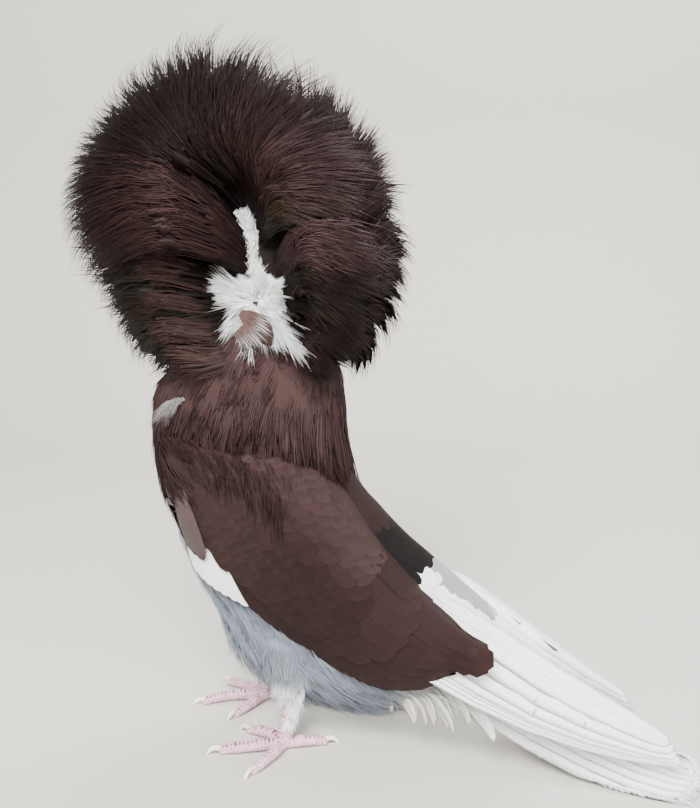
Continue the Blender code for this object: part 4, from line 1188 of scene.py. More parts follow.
def stockings(coat, side):
    """Short feathers round the thigh and hock, white down the back and outer side of the shank."""
    count = int(350 * DENSITY)
    share, phi = rng.random(count) * 1.62, rng.uniform(0, tau, count)
    facing = FOOT_TURN[side] - pi / 2
    share = np.where(np.cos(phi - facing) > 0.1, np.minimum(share, rng.uniform(0.5, 1.12, count)), share)
    line = (THIGH_TOP[side], HOCK[side], FOOT_PLACE[side] + np.array((0, 0, 0.006)))
    rows = ((0.0120, 0.0140), (0.0115, 0.0130), (0.0054, 0.0060), (0.0040, 0.0042), (0.0038, 0.0038))
    halves = between(rows, share / 2)
    middle = np.where((share < 1)[:, None], mix(line[0], line[1], share), mix(line[1], line[2], share - 1))
    out = np.column_stack([np.cos(phi), np.sin(phi), 0 * phi])
    root = middle + out * np.column_stack([halves, 0 * phi]) * 0.9
    down = unit(np.where((share < 0.8)[:, None], (0.0, 0.15, -1.0), line[2] - line[1]))
    flow = unit(down + out * 0.10 + rng.normal(0, 0.10, (count, 3)))
    length = rng.uniform(0.010, 0.016, (count, 1)) * (1 - 0.35 * np.minimum(share, 1))[:, None]
    tip = root + flow * length + out * rng.uniform(0.0003, 0.0014, (count, 1))
    ctrl = (root, root + (flow * 0.3 + out * 0.15) * length, tip - flow * length * 0.35, tip)
    tone = mix(BLUE_GREY, WHITE, smooth(0.62, 0.92, share)) * rng.uniform(0.88, 1.05, (count, 1))
    pale = mix(PALE_DOWN, WHITE, smooth(0.62, 0.92, np.repeat(share, 9)))
    roots = np.column_stack([share * 0.55, phi / tau])
    fine_tufts(coat, ctrl, out, 0.0024, tone, roots, 9, 0.00011, 0.08, pale[:, None, :])


# Wings

# Lowest place of the brown coverts' ends, from the shield's front to its rear
SHIELD_LOW = ((-0.30,), (-0.50,), (-0.66,), (-0.74,), (-0.81,), (-0.95,), (-1.05,), (-1.10,), (-1.0,),
              (-0.9,))


def shield_coverts(coat, side):
    """Small coverts over the shield, larger towards the rear, that leave the white edge below them open."""
    spots, _ = spread_points(int(600 * DENSITY), (0.0, -1.0), (0.84, 1.0))
    u, v = spots.T
    low = between(SHIELD_LOW, u / 0.9)[:, 0]
    rear = 0.42 + 0.12 * smooth(-0.7, 0.2, v)
    keep = (v > low + 0.30 - 0.12 * u) & (u < rear) & ~((u < 0.13) & (v < 0.1 - 4 * u))
    u, v = u[keep], fold_top(v[keep], side)
    count = len(u)
    grow = smooth(0.0, 0.7, u)
    length = (0.016 + 0.013 * grow) * rng.uniform(0.93, 1.07, count)
    t = CONTOUR_STATIONS
    us = u[:, None] + length[:, None] / 0.165 * t
    vs = v[:, None] - (0.22 - 0.08 * grow)[:, None] * t + rng.normal(0, 0.02, (count, 1)) * t
    heights = 0.0006 + 0.0004 * t + rng.uniform(0, 0.00005, (count, 1))
    half = ((0.0056 + 0.0028 * grow) * rng.uniform(0.95, 1.05, count))[:, None] * COVERT_WIDTHS
    tone = np.asarray(PLUMAGE) * rng.uniform(0.54, 0.68, (count, 1))
    tone = mix(tone, NECK, 0.45 * smooth(0.2, 0.9, v) + 0.25 * (1 - smooth(0.1, 0.4, u)))
    edge = smooth(0.80, 1.0, t)[None, :, None]
    tints = tone[:, None, :] * (1 + 0.45 * edge)
    coat.drape(on_wing(side), us, vs, heights, VANE, half, 0.00004, -0.00006 * side, tints,
               np.column_stack([u, v * 0.5 + 0.5]))


def mantle_locks(coat, side):
    """Soft locks that run down from the neck and the shoulder over the front of the wing."""
    count = int(115 * DENSITY)
    spots, _ = spread_points(count, (-0.04, -0.1), (0.30, 1.3))
    u, v = spots.T
    v = np.where(u > 0.0, np.maximum(v, 0.75), v)
    v = v if side == LEFT else np.minimum(v, 0.9)
    run_u, run_v = rng.uniform(0.09, 0.16, count), rng.uniform(0.45, 0.75, count) * smooth(-0.3, 0.4, v)
    ctrl = []
    for share, high in ((0.0, -0.002), (0.33, 0.0008), (0.67, 0.0014), (1.0, 0.0018)):
        ctrl.append(wing_place(u + run_u * share, v - run_v * share, side, np.full(count, high))[0])
    out = wing_place(u, v, side)[1]
    tone = np.asarray(PLUMAGE) * rng.uniform(0.8, 1.25, (count, 1))
    tone = mix(tone, NECK, 0.5 * smooth(0.6, 1.0, v))
    roots = np.column_stack([0.1 + 0 * u, v * 0.3 + 0.5])
    lock_strands(coat, ctrl, out, rng.uniform(0.0034, 0.0050, count), tone, roots, 10, 0.85)


def fold_top(v, side):
    """The right wing is held lower, so its upper edge ends below the line of the back."""
    return np.where(v > 0, v * (1.0 if side == LEFT else 0.42), v)


LONG_STATIONS = np.array((0.0, 0.12, 0.28, 0.46, 0.64, 0.79, 0.90, 0.965, 1.0))
LONG_WIDTHS = np.array((0.45, 0.78, 0.95, 1.0, 1.0, 0.97, 0.86, 0.60))
SHAFTED = ((1.0, 0.0), (0.55, 0.66), (0.07, 0.86), (0.0, 1.15), (-0.07, 0.86), (-0.55, 0.66), (-1.0, 0.0),
           (0.0, -0.3))


def long_feathers(coat, side, starts, ends, count, half_width, lift, tone, first_cell):
    """A row of large feathers whose roots and tips each run along a line of (u, v) on the wing."""
    share = np.linspace(0, 1, count)
    start, end = between(starts, share), between(ends, share)
    end = end + rng.normal(0, 0.004, end.shape)
    t = LONG_STATIONS
    us = start[:, :1] + (end - start)[:, :1] * t
    vs = fold_top(start[:, 1:] + (end - start)[:, 1:] * t + 0.05 * np.sin(pi * t), side)
    heights = lift + 0.0008 * share[:, None] - 0.0006 * (1 - np.minimum(1, t * 1.6))
    half = half_width * rng.uniform(0.96, 1.04, (count, 1)) * LONG_WIDTHS
    tones = np.asarray(tone) * rng.uniform(0.85, 1.15, (count, 1))
    edge = smooth(0.90, 1.0, t)[None, :, None]
    tints = tones[:, None, :] * (0.85 + 0.15 * t[None, :, None]) * (1 + 0.35 * edge)
    coat.drape(on_wing(side), us, vs, heights, SHAFTED, half, 0.00006, -0.00012 * side, tints,
               cells(first_cell, count),
               CELL)


CELL = 0.045


def cells(first, count):
    """Places of large feathers on the bake map, one square each, in rows."""
    index = np.arange(first, first + count)
    return np.column_stack([(index % 20) * 0.049, (index // 20) * 0.049])


# Folded primaries from the lowest: place of the tip and of the middle across the fold, half width, length
PRIMARY_ROWS = (
    (0.06, 0.10, 0.0052, 0.97), (0.12, 0.16, 0.0052, 0.99), (0.19, 0.23, 0.0054, 1.00),
                (0.34, 0.36, 0.0080, 1.00),
    (0.50, 0.54, 0.0096, 0.99), (0.68, 0.72, 0.0096, 0.98), (0.84, 0.90, 0.0080, 0.96),
)


def white_primaries(coat, side):
    """The right wing's primaries end shorter, as in the pose."""
    tips, middles, halves, ends = np.array(PRIMARY_ROWS).T
    count = len(tips)
    t = LONG_STATIONS
    reach = 1.0 if side == LEFT else 0.80
    s = middles[:, None] + (tips - middles)[:, None] * t ** 2
    heights = 0.00022 * np.arange(count)[:, None] + 0 * t
    half = halves[:, None] * LONG_WIDTHS * np.array((1.15, 1.12, 1.06, 1.0, 0.90, 0.76, 0.66, 0.6))
    tone = np.tile(WHITE, (count, 1)) * rng.uniform(0.98, 1.02, (count, 1))
    coat.drape(on_blade(side), (reach * ends)[:, None] * t, s, heights, SHAFTED, half, 0.00014, 0.0,
               tone[:, None, :],
               cells(60, count), CELL)
    count = int(160 * DENSITY)
    along, row = rng.random(count) ** 0.6, rng.integers(0, len(tips), count)
    edge = blade_place(reach * (0.55 + 0.42 * along), 0.02 + 0 * along, side, 0.0002)
    ahead = blade_place(reach * (0.57 + 0.42 * along), 0.02 + 0 * along, side, 0.0002)
    flow = unit(unit(ahead - edge) * 1.6 + np.array((0.25 * side, 0, -0.5))
                + rng.normal(0, 0.2, (count, 3)))
    length = rng.uniform(0.003, 0.007, (count, 1))
    tip = edge + flow * length
    ctrl = (edge, edge + flow * length * 0.3, tip - flow * length * 0.3, tip)
    tone = np.tile(WHITE, (count, 1))
    fine_tufts(coat, ctrl, np.tile((side, 0.0, 0.3), (count, 1)), 0.0004, tone,
               np.column_stack([along, 0.9 + 0 * row]), 3,
               0.00010, 0.05)


def leading_edge(coat, side):
    """Reddish thumb feathers along the front edge, and the white strip that shows below them."""
    for k in range(4):
        start = np.array((0.0, 0.12 - 0.16 * k))
        end = np.array((0.205 - 0.03 * k, -0.70 - 0.05 * k))
        tone = mix(ALULA, PLUMAGE, 0.1 * k)
        edge_feather(coat, side, start, end, 0.0042, 0.0022 - 0.0004 * k, tone, 80 + k)
    for k in range(9):
        start = np.array((0.02 + 0.030 * k, -0.52 - 0.015 * k))
        end = np.array((0.115 + 0.033 * k, -1.26 + 0.045 * k))
        edge_feather(coat, side, start, end, 0.0056, 0.0003 - 0.00006 * k, WHITE, 84 + k)


def edge_feather(coat, side, start, end, half, lift, tone, cell):
    t = LONG_STATIONS
    us, vs = (start[0] + (end[0] - start[0]) * t)[None], (start[1] + (end[1] - start[1]) * t)[None]
    heights = (-0.001 + (0.001 + lift) * np.minimum(1, t * 2))[None]
    coat.drape(on_wing(side), us, vs, heights, SHAFTED, half * LONG_WIDTHS, 0.0002, 0.0, tone,
               cells(cell, 1), CELL)


def dress_wing(side, brown, white, strands):
    word = "left" if side == LEFT else "right"
    coat = Coat()
    long_feathers(coat, side, ((0.38, -0.50), (0.40, -0.40), (0.46, -0.10), (0.52, 0.30), (0.58, 0.66)),
                  ((0.54, -1.00), (0.78, -1.02), (1.00, -0.72), (1.11, 0.04), (1.06, 0.80)), 11, 0.0108,
                  -0.0006, np.asarray(PLUMAGE) * 0.95, 0)
    long_feathers(coat, side, ((0.30, -0.36), (0.32, -0.26), (0.38, 0.00), (0.44, 0.34), (0.48, 0.72)),
                  ((0.44, -0.80), (0.58, -0.88), (0.76, -0.36), (0.84, 0.24), (0.82, 0.80)), 10, 0.0100,
                  0.0001, np.asarray(PLUMAGE) * 0.85, 20)
    shield_coverts(coat, side)
    coat.build(f"wing_feathers_{word}", brown, (f"wing_{word}",))
    coat = Coat(two_sided=True)
    white_primaries(coat, side)
    coat.build(f"white_flights_{word}", white)
    coat = Coat()
    leading_edge(coat, side)
    coat.build(f"wing_edge_{word}", white)
    coat = Coat()
    mantle_locks(coat, side)
    coat.build(f"mantle_{word}", strands)


# Back between the wings: ridge of the plumage from the shoulders to the tail, as y, z
SADDLE = ((0.036, 0.151), (0.047, 0.1310), (0.058, 0.1192), (0.070, 0.1075), (0.081, 0.0988),
          (0.092, 0.0905),
          (0.104, 0.0812), (0.118, 0.0700), (0.130, 0.0600), (0.146, 0.0475))
SADDLE_HALF = 0.017
SADDLE_DROP = 0.0095


def on_saddle(v, s, height):
    """A place on the back between the wings: v runs down it and s across it."""
    v, s = np.broadcast_arrays(v, s)
    line = between(SADDLE, v)
    slope = unit(between(SADDLE, np.minimum(v + 0.02, 1)) - between(SADDLE, np.maximum(v - 0.02, 0)))
    up = np.stack([-slope[..., 1], slope[..., 0]], axis=-1)
    off = (height - SADDLE_DROP * s ** 2)[..., None] * up
    return np.concatenate([(s * SADDLE_HALF)[..., None], line + off], axis=-1)


def saddle_tint(v, s):
    """Brown, then black, then grey over the ridge and white beside it."""
    tint = np.where((v < 0.27)[:, None], PLUMAGE, BLACK)
    tint = np.where((v > 0.48)[:, None], GREY_PATCH, tint)
    white = (v > 0.75) | ((v > 0.48) & ((s > 0.50) | (s < -0.25)))
    return np.where(white[:, None], WHITE, tint)


def dress_saddle(dark, light):
    spots, _ = spread_points(int(520 * DENSITY), (0.0, -1.5), (0.80, 1.5))
    v, s = spots[np.abs(spots[:, 1]) < 1.5 - 0.85 * smooth(0.25, 0.6, spots[:, 0])].T
    t = CONTOUR_STATIONS
    long = rng.uniform(0.15, 0.18, (len(v), 1))
    heights = 0.0005 * t + rng.uniform(0, 0.00005, (len(v), 1))
    vs, ss = v[:, None] + long * t, s[:, None] * (1 + 0.08 * t)
    half = rng.uniform(0.0040, 0.0056, (len(v), 1)) * COVERT_WIDTHS
    tone = saddle_tint(v + long[:, 0] * 0.8, s) * rng.uniform(0.95, 1.05, (len(v), 1))
    pale = v + long[:, 0] * 0.8 > 0.48
    for name, finish, pick in (("back_feathers", dark, ~pale), ("rump_feathers", light, pale)):
        coat = Coat()
        roots = np.column_stack([v, s * 0.3 + 0.5])[pick]
        coat.drape(on_saddle, vs[pick], ss[pick], heights[pick], VANE, half[pick], 0.00004, 0.00006,
                   tone[pick][:, None, :], roots)
        coat.build(name, finish)


# Tail

def dress_tail(finish):
    coat = Coat(two_sided=True)
    for k in range(RECTRICES_A_SIDE):
        share = 0.90 * (k + 0.5) / (RECTRICES_A_SIDE - 0.5)
        for side in SIDES:
            end = 1.0 - 0.08 * share ** 2 + rng.uniform(-0.012, 0.012)
            tail_feather(coat, side * share, end, 0.0070, 0.00035 * (k if side == LEFT else k + 0.5),
                         12 * (side == RIGHT) + k)
    for k, (share, end) in enumerate(((0.08, 0.58), (0.24, 0.54), (0.40, 0.48))):
        for side in SIDES:
            tail_feather(coat, side * share, end, 0.0040, -0.0005 - 0.0001 * side,
                         30 + 2 * k + (side == LEFT))
    fringe(coat)
    coat.build("tail_feathers", finish, ("tail",))
    coat = Coat(two_sided=True)
    vent_feathers(coat)
    coat.build("vent_feathers", finish)


def fringe(coat):
    """Loose barbs along the tail's end and edges."""
    count = int(420 * DENSITY)
    end = rng.random(count) < 0.55
    share = np.where(end, rng.uniform(-0.95, 0.95, count), np.sign(rng.random(count) - 0.3) * 0.98)
    along = np.where(end, 0.985 - 0.08 * share ** 2, rng.uniform(0.45, 0.95, count))
    root = tail_place(along, share, 0.0002)
    ahead = unit(tail_place(np.minimum(along + 0.02, 1), share, 0.0002)
                 - tail_place(along - 0.02, share, 0.0002))
    flow = unit(ahead + np.column_stack([share * np.where(end, 0.3, 0.8), 0 * share, -0.15 + 0 * share])
                + rng.normal(0, 0.15, (count, 3)))
    length = rng.uniform(0.003, 0.007, (count, 1)) * np.where(end, 1.0, 0.8)[:, None]
    tip = root + flow * length
    tip[:, 2] = np.maximum(tip[:, 2], 0.0006)
    ctrl = (root, root + flow * length * 0.3, tip - flow * length * 0.3, tip)
    roots = np.column_stack([0.95 * along, 0.9 + 0.05 * share])
    fine_tufts(coat, ctrl, np.tile((0.0, 0.0, 1.0), (count, 1)), 0.0006, np.tile(WHITE, (count, 1)), roots,
               4, 0.00012, 0.05)


def vent_feathers(coat):
    """Cream feathers that curl down behind the belly, under the root of the tail."""
    t = CONTOUR_STATIONS
    spots, more = spread_points(70, (-1, 0), (1, 1))
    across, along = spots.T
    root = np.column_stack([0.017 * across, 0.056 + 0.040 * along,
                            0.039 + 0.003 * along - 0.006 * np.abs(across)])
    run = np.column_stack([0.005 * across, 0.015 + 0.006 * along + 0.004 * more, -0.016 - 0.005 * more])
    tip = root + run * rng.uniform(0.75, 1.1, (70, 1))
    bend = root + run * (0.8, 0.75, 0.2)
    path = bezier(root, root * 0.5 + bend * 0.5, bend, tip, np.tile(t, (70, 1)))
    left = np.where(across > 0, -1.0, 1.0)
    side = np.column_stack([0 * left - 0.5, left * 0.7, left * 0.7]) + rng.normal(0, 0.2, (70, 3))
    tone = mix(CREAM, WHITE, 0.2 + 0.6 * along) * rng.uniform(0.85, 1.0, (70, 1))
    roots = np.column_stack([0.92 + 0 * along, 0.2 + 0.1 * across])
    coat.add(path, side, VANE, rng.uniform(0.0034, 0.0048, (70, 1)) * CONTOUR_WIDTHS, 0.0003,
             tone[:, None, :] * 0.9, roots)
    ctrl = [np.repeat(p, 5, axis=0) + rng.normal(0, 0.0022, (350, 3))
            for p in (root, root * 0.5 + bend * 0.5, bend, tip + run * 0.12)]
    outward = np.column_stack([np.repeat(-left, 5), np.zeros((350, 2))])
    fine_tufts(coat, ctrl, outward, 0.0016, np.repeat(tone, 5, axis=0), np.repeat(roots, 5, axis=0), 5,
               0.00010, 0.08)


def tail_place(along, s, drop=0.0):
    """A place on the arched tail: s runs across it from the right edge at -1 to the left edge at 1."""
    along, s = np.broadcast_arrays(along, s)
    row = between(TAIL, along)
    z = row[..., 1] - (row[..., 1] - row[..., 2]) * np.abs(s) ** 1.7 - drop
    return np.stack([s * row[..., 3], row[..., 0], np.maximum(z, 0.0008)], axis=-1)


def on_tail(along, share, height):
    return tail_place(along, share, -height)


def tail_feather(coat, share, end, half_width, drop, cell):
    t = LONG_STATIONS
    tone = np.asarray(WHITE) * rng.uniform(0.95, 1.03)
    coat.drape(on_tail, (end * t)[None], np.full((1, len(t)), share), np.full((1, len(t)), -drop), SHAFTED,
               half_width * LONG_WIDTHS, 0.0003, 0.0, tone, cells(cell, 1), CELL)


# Feet

def closed_loft(rings):
    rings = np.asarray(rings)
    stations, around, _ = rings.shape
    faces = []
    for k in range(stations - 1):
        for i in range(around):
            a, b = k * around + i, k * around + (i + 1) % around
            faces += [(a, b, b + around), (a, b + around, a + around)]
    base, top = stations * around, stations * around + 1
    for i in range(around):
        faces.append(((i + 1) % around, i, base))
        a, b = (stations - 1) * around + i, (stations - 1) * around + (i + 1) % around
        faces.append((a, b, top))
    points = np.concatenate([rings.reshape(-1, 3), [rings[0].mean(0)], [rings[-1].mean(0)]])
    return points, np.array(faces)


def toe_direction(side, toe):
    turn = FOOT_TURN[side] + radians(side * TOES[toe][0])
    return np.array((sin(turn), -cos(turn), 0.0))


# Colours of the toes: pale sides, and dark plates across the top with pale borders
PINK = np.array((0.66, 0.50, 0.56))
PALE_SCALE = np.array((0.74, 0.61, 0.67))
PLATE = np.array((0.20, 0.055, 0.11))


def scaly_tube(centres, across, up, halves, top_share, dark, around=20):
    """A leg or toe with dark plates across its upper side, each with a pale border."""
    phi = np.linspace(0, tau, around, endpoint=False)
    run = np.concatenate([[0], np.cumsum(np.linalg.norm(np.diff(centres, axis=0), axis=1))])
    saw = run / SCUTE % 1.0
    strength = dark * rng.uniform(0.35, 1.0, 40)[(run / SCUTE).astype(int)]
    rings, tints = [], []
    for k, middle in enumerate(centres):
        top = smooth(top_share, top_share + 0.45, np.sin(phi))
        swell = halves[k] * (1 + 0.11 * top * (saw[k] - 0.5))
        ring = across * (np.cos(phi) * swell)[:, None] + up[k] * (np.sin(phi) * swell)[:, None]
        rings.append(middle + ring)
        plate = smooth(0.06, 0.20, saw[k]) * (1 - smooth(0.62, 0.85, saw[k]))
        tints.append(mix(PINK, mix(PALE_SCALE, PLATE, np.full(around, plate * strength[k])), top))
    points, faces = closed_loft(rings)
    tints = np.concatenate(tints + [tints[0][:1], tints[-1][:1]])
    return points, faces, tints


def dress_foot(side, finish, horn):
    word = "left" if side == LEFT else "right"
    parts = []
    top, sole = HOCK[side] + np.array((0, 0, 0.004)), FOOT_PLACE[side] + np.array((0, 0, 0.0030))
    share = np.linspace(0, 1, 90)
    centres = top + (sole - top) * share[:, None]
    halves = 0.0033 * between(((1.15,), (1.0,), (0.95,), (1.0,), (1.30,)), share)[:, 0]
    facing = unit(np.array((sin(FOOT_TURN[side]), -cos(FOOT_TURN[side]), 0.0)))
    down = unit(sole - top)
    front = unit(facing - down * np.dot(facing, down))
    parts.append(scaly_tube(centres, np.cross(front, down), np.tile(front, (90, 1)), halves, 0.1, 0.8))
    for toe, (_, length, _) in TOES.items():
        onward = toe_direction(side, toe)
        length += TOE_GAIN
        share = np.linspace(0, 1, 120)
        halves = TOE_HALF * (1.02 - 0.26 * share) * (1 + 0.08 * np.sin(share * 3 * tau + 0.6))
        halves[-8:] *= np.array((0.99, 0.97, 0.93, 0.87, 0.78, 0.66, 0.50, 0.28))
        arch = 0.0010 * np.sin(pi * np.clip(share * 1.05, 0, 1))
        bow = side * 0.0016 * np.sin(pi * share) * {"inner": -1.0, "hind": -0.6}.get(toe, 1.0)
        across = np.cross(onward, (0, 0, 1))
        centres = FOOT_PLACE[side] + onward * (length * share)[:, None] - across * bow[:, None]
        centres = centres + np.array((0, 0, 1.0)) * (halves * 0.96 + arch)[:, None]
        parts.append(scaly_tube(centres, across, np.tile((0, 0, 1.0), (120, 1)), halves, 0.45,
                                {"outer": 0.7, "hind": 0.7}.get(toe, 1.0)))
    points, faces, tints, count = [], [], [], 0
    for part_points, part_faces, part_tints in parts:
        part_points[:, 2] = np.maximum(part_points[:, 2], 0.0)
        points.append(part_points)
        faces.append(part_faces + count)
        tints.append(part_tints)
        count += len(part_points)
    piece = mesh_piece(f"scaly_foot_{word}", np.concatenate(points), np.concatenate(faces), finish,
                       (f"foot_{word}",))
    colour_points(piece, np.concatenate(tints))
    for toe in TOES:
        dress_claw(side, toe, horn)


def dress_claw(side, toe, finish):
    """An ivory claw that arches over from the toe's end and comes down to the ground."""
    word = "left" if side == LEFT else "right"
    length = TOES[toe][1] + TOE_GAIN
    onward = toe_direction(side, toe)
    across = np.cross(onward, (0, 0, 1))
    bend = np.linspace(-0.1, 1, 28)
    turn = radians(-22) + bend * radians(118)
    radius = 0.0043
    rise = np.column_stack([0 * turn, 0 * turn, np.cos(turn)]) + onward * np.sin(turn)[:, None]
    middle = FOOT_PLACE[side] + onward * (length - 0.0004) + rise * radius
    middle = middle - np.array((0, 0, 1.0)) * (radius * cos(radians(-22))
                                               - 0.0030) + onward * radius * sin(radians(22))
    half = 0.00155 * (1 - 0.90 * np.clip(bend, 0, 1) ** 1.3)
    phi = np.linspace(0, tau, 14, endpoint=False)
    rings = [m + across * (np.cos(phi) * h * 0.75)[:, None] + r * (np.sin(phi) * h)[:, None]
             for m, h, r in zip(middle, half, rise)]
    points, faces = closed_loft(rings)
    points[:, 2] = np.maximum(points[:, 2], 0.0001)
    piece = mesh_piece(f"ivory_claw_{word}_{toe}", points, faces, finish,
                       (f"claw_{word}_{toe}",))
    tints = mix((0.70, 0.54, 0.48), (0.84, 0.80, 0.72), np.repeat(np.clip(bend * 1.6, 0, 1), 14))
    colour_points(piece, np.concatenate([tints, tints[:1], tints[-1:]]))


# Head

def dress_head(finish):
    """Small white feathers that lie back from the bill, smallest on the face."""
    coat = Coat(two_sided=True)
    spots, _ = spread_points(int(1900 * DENSITY), (0.0, 0.0), (0.99, tau))
    v, phi = spots[:, 0], spots[:, 1]
    place = head_place(v, phi)[0]
    away = np.linalg.norm((place - EYE_PLACE)[:, 1:], axis=-1)
    keep = (away > EYE_RADIUS * 1.12) | (np.abs(place[:, 0]) < 0.006)
    v, phi = v[keep], phi[keep]
    t = np.array((0.0, 0.4, 0.8, 0.94, 1.0))
    length = (0.0026 + 0.0050 * (1 - v)) * rng.uniform(0.8, 1.2, len(v))
    back = v[:, None] - (length / 0.042)[:, None] * t
    phis = phi[:, None] + rng.normal(0, 0.08, (len(v), 1)) * t
    heights = 0.0001 + 0.0004 * t * (1 - 0.5 * v[:, None]) + rng.uniform(0, 0.0001, (len(v), 1))
    half = (0.0010 + 0.0011 * (1 - v))[:, None] * np.array((0.7, 1.0, 0.8, 0.4))
    tone = np.tile(WHITE, (len(v), 1)) * rng.uniform(0.93, 1.01, (len(v), 1))
    coat.drape(on_head, back, phis, heights, VANE, half, 0.00005, 0.00004, tone[:, None, :],
               np.column_stack([v, phi / tau]))
    coat.build("head_feathers", finish)


def lathe(profile, centre, axis, count=40):
    """A surface turned round axis through centre, from (distance along it, radius) pairs."""
    axis = unit(np.asarray(axis, float))
    across = unit(np.cross(axis, (0, 0, 1)))
    up = np.cross(across, axis)
    phi = np.linspace(0, tau, count, endpoint=False)
    rings = [centre + axis * along + radius * (np.cos(phi)[:, None] * across + np.sin(phi)[:, None] * up)
             for along, radius in profile]
    return closed_loft(rings)


def dress_eye(side, eye_finish, lid_finish):
    word = "left" if side == LEFT else "right"
    centre = EYE_PLACE * (side, 1, 1)
    axis = np.array((side * 0.94, -0.33, 0.05))
    turns = np.linspace(pi * 0.98, 0.02, 34)
    profile = [(EYE_RADIUS * cos(a), EYE_RADIUS * sin(a)) for a in turns]
    points, faces = lathe(profile, centre, axis)
    piece = mesh_piece(f"eyeball_{word}", points, faces, eye_finish, (f"eye_{word}",))
    off = np.repeat(turns, 40)
    tints = np.tile((0.55, 0.50, 0.46), (len(off), 1))
    tints = mix(tints, (0.62, 0.58, 0.52), smooth(0.95, 0.75, off))
    tints = mix(tints, (0.55, 0.20, 0.10), smooth(0.80, 0.92, off) * (1 - smooth(0.92, 1.2, off)))
    tints[off < 0.46] = (0.006, 0.005, 0.005)
    colour_points(piece, np.concatenate([tints, tints[:1], tints[-1:]]))
    phi = np.linspace(0, tau, 48, endpoint=False)
    rim = [(EYE_RADIUS * 0.62, EYE_RADIUS * 0.70), (EYE_RADIUS * 0.74, EYE_RADIUS * 0.76),
           (EYE_RADIUS * 0.72, EYE_RADIUS * 0.92), (EYE_RADIUS * 0.50, EYE_RADIUS * 1.12),
           (EYE_RADIUS * 0.20, EYE_RADIUS * 1.20), (EYE_RADIUS * 0.20, EYE_RADIUS * 0.80)]
    points, faces = lathe(rim, centre, axis, 48)
    wrinkle = 1 + 0.02 * np.sin(np.tile(phi * 17, len(rim)))
    wall = points[:-2] - centre
    points[:-2] = centre + wall * wrinkle[:, None]
    caps = np.any(faces >= len(rim) * 48, axis=1)
    faces = faces[~caps]
    inner, outer = np.arange(48), np.arange(48) + 48 * (len(rim) - 1)
    ahead = (np.arange(48) + 1) % 48
    bridge = np.concatenate([np.column_stack([outer, outer[ahead], inner[ahead]]),
                             np.column_stack([outer, inner[ahead], inner])])
    faces = np.concatenate([faces, bridge])
    piece = mesh_piece(f"lid_{word}", points[:-2], faces, lid_finish)
    colour_points(piece, np.tile((0.62, 0.50, 0.47), (len(points) - 2, 1)))


def dress_bill(finish):
    for upper in (True, False):
        steps, around = 26, 25
        reach = BILL_TIP_Y - BILL_ROOT_Y if upper else 0.9 * (BILL_TIP_Y - BILL_ROOT_Y)
        high = 0.0046 if upper else -0.0024
        share = np.linspace(-0.12, 1, steps)
        flat = np.clip(share, 0, 1)
        wide = 0.0042 * (1 - flat) ** 0.7 + 0.0005
        level = MOUTH_LEVEL - 0.0022 * flat ** 2 + (0.00008 if upper else -0.00008)
        tall = high * (1 - flat) ** 0.8 + (0.0005 if upper else -0.0005)
        phi = np.linspace(0, pi, around)
        rings = [np.column_stack([w * np.cos(phi), np.full(around, BILL_ROOT_Y + reach * s),
                                  z + h * np.sin(phi)])
                 for s, w, z, h in zip(share, wide, level, tall)]
        if not upper:
            rings = [r[::-1] for r in rings]
        points, faces = closed_loft(rings)
        tints = [mix((0.70, 0.60, 0.54), (0.62, 0.52, 0.44), np.full(around, s)) for s in flat]
        tints = np.concatenate(tints)
        name = "upper" if upper else "lower"
        if upper:
            # Painted shade: a dark slit on each side of the upper bill stands for the nostril openings,
            # which have no depth of their own
            slit = np.abs(points[:-2] * (1, 0, 0) + 0).sum(1)
            near = np.hypot((points[:-2, 1] - BILL_ROOT_Y + 0.0062) / 0.0020,
                            (points[:-2, 2] - 0.2472) / 0.0005)
            tints[(near < 1) & (slit > 0.0015)] = (0.10, 0.07, 0.06)
        piece = mesh_piece(f"horn_bill_{name}", points, faces, finish, (f"bill_{name}",))
        colour_points(piece, np.concatenate([tints, tints[:1], tints[-1:]]))
    for side in SIDES:
        turns = np.linspace(0.05, pi - 0.05, 14)
        phi = np.linspace(0, tau, 20, endpoint=False)
        centre = np.array((side * 0.0012, -0.0604, 0.2478))
        rings = [centre + np.column_stack([0.0018 * sin(a) * np.cos(phi), np.full(20, -0.0036 * cos(a)),
                                           0.0012 * sin(a) * np.sin(phi) - 0.0012 * cos(a)]) for a in turns]
        points, faces = closed_loft(rings)
        piece = mesh_piece(f"cere_{'left' if side == LEFT else 'right'}", points, faces, finish)
        colour_points(piece, np.tile((0.74, 0.70, 0.68), (len(points), 1)))


# Studio

CAMERA_PLACE = np.array((0.43362, 0.17555, 0.240))
CAMERA_AZIMUTH = radians(107)
CAMERA_PITCH = radians(8.68)
FOCAL_PIXELS = 930.0
PHOTO_HIGH = 808.0


def make_camera():
    away = Vector((-sin(CAMERA_AZIMUTH), cos(CAMERA_AZIMUTH), 0))
    right = Vector((cos(CAMERA_AZIMUTH), sin(CAMERA_AZIMUTH), 0))
    forward = away * cos(CAMERA_PITCH) - Vector((0, 0, sin(CAMERA_PITCH)))
    up = right.cross(forward)
    place = Vector(CAMERA_PLACE + FEET)
    camera = bpy.data.cameras.new("camera")
    camera.sensor_width = 36.0
    camera.lens = FOCAL_PIXELS / PHOTO_HIGH * camera.sensor_width
    camera.clip_start = 0.01
    holder = bpy.data.objects.new("camera", camera)
    holder.matrix_world = Matrix((
        (right.x, up.x, -forward.x, place.x), (right.y, up.y, -forward.y, place.y),
        (right.z, up.z, -forward.z, place.z), (0, 0, 0, 1)))
    bpy.context.scene.collection.objects.link(holder)
    bpy.context.scene.camera = holder


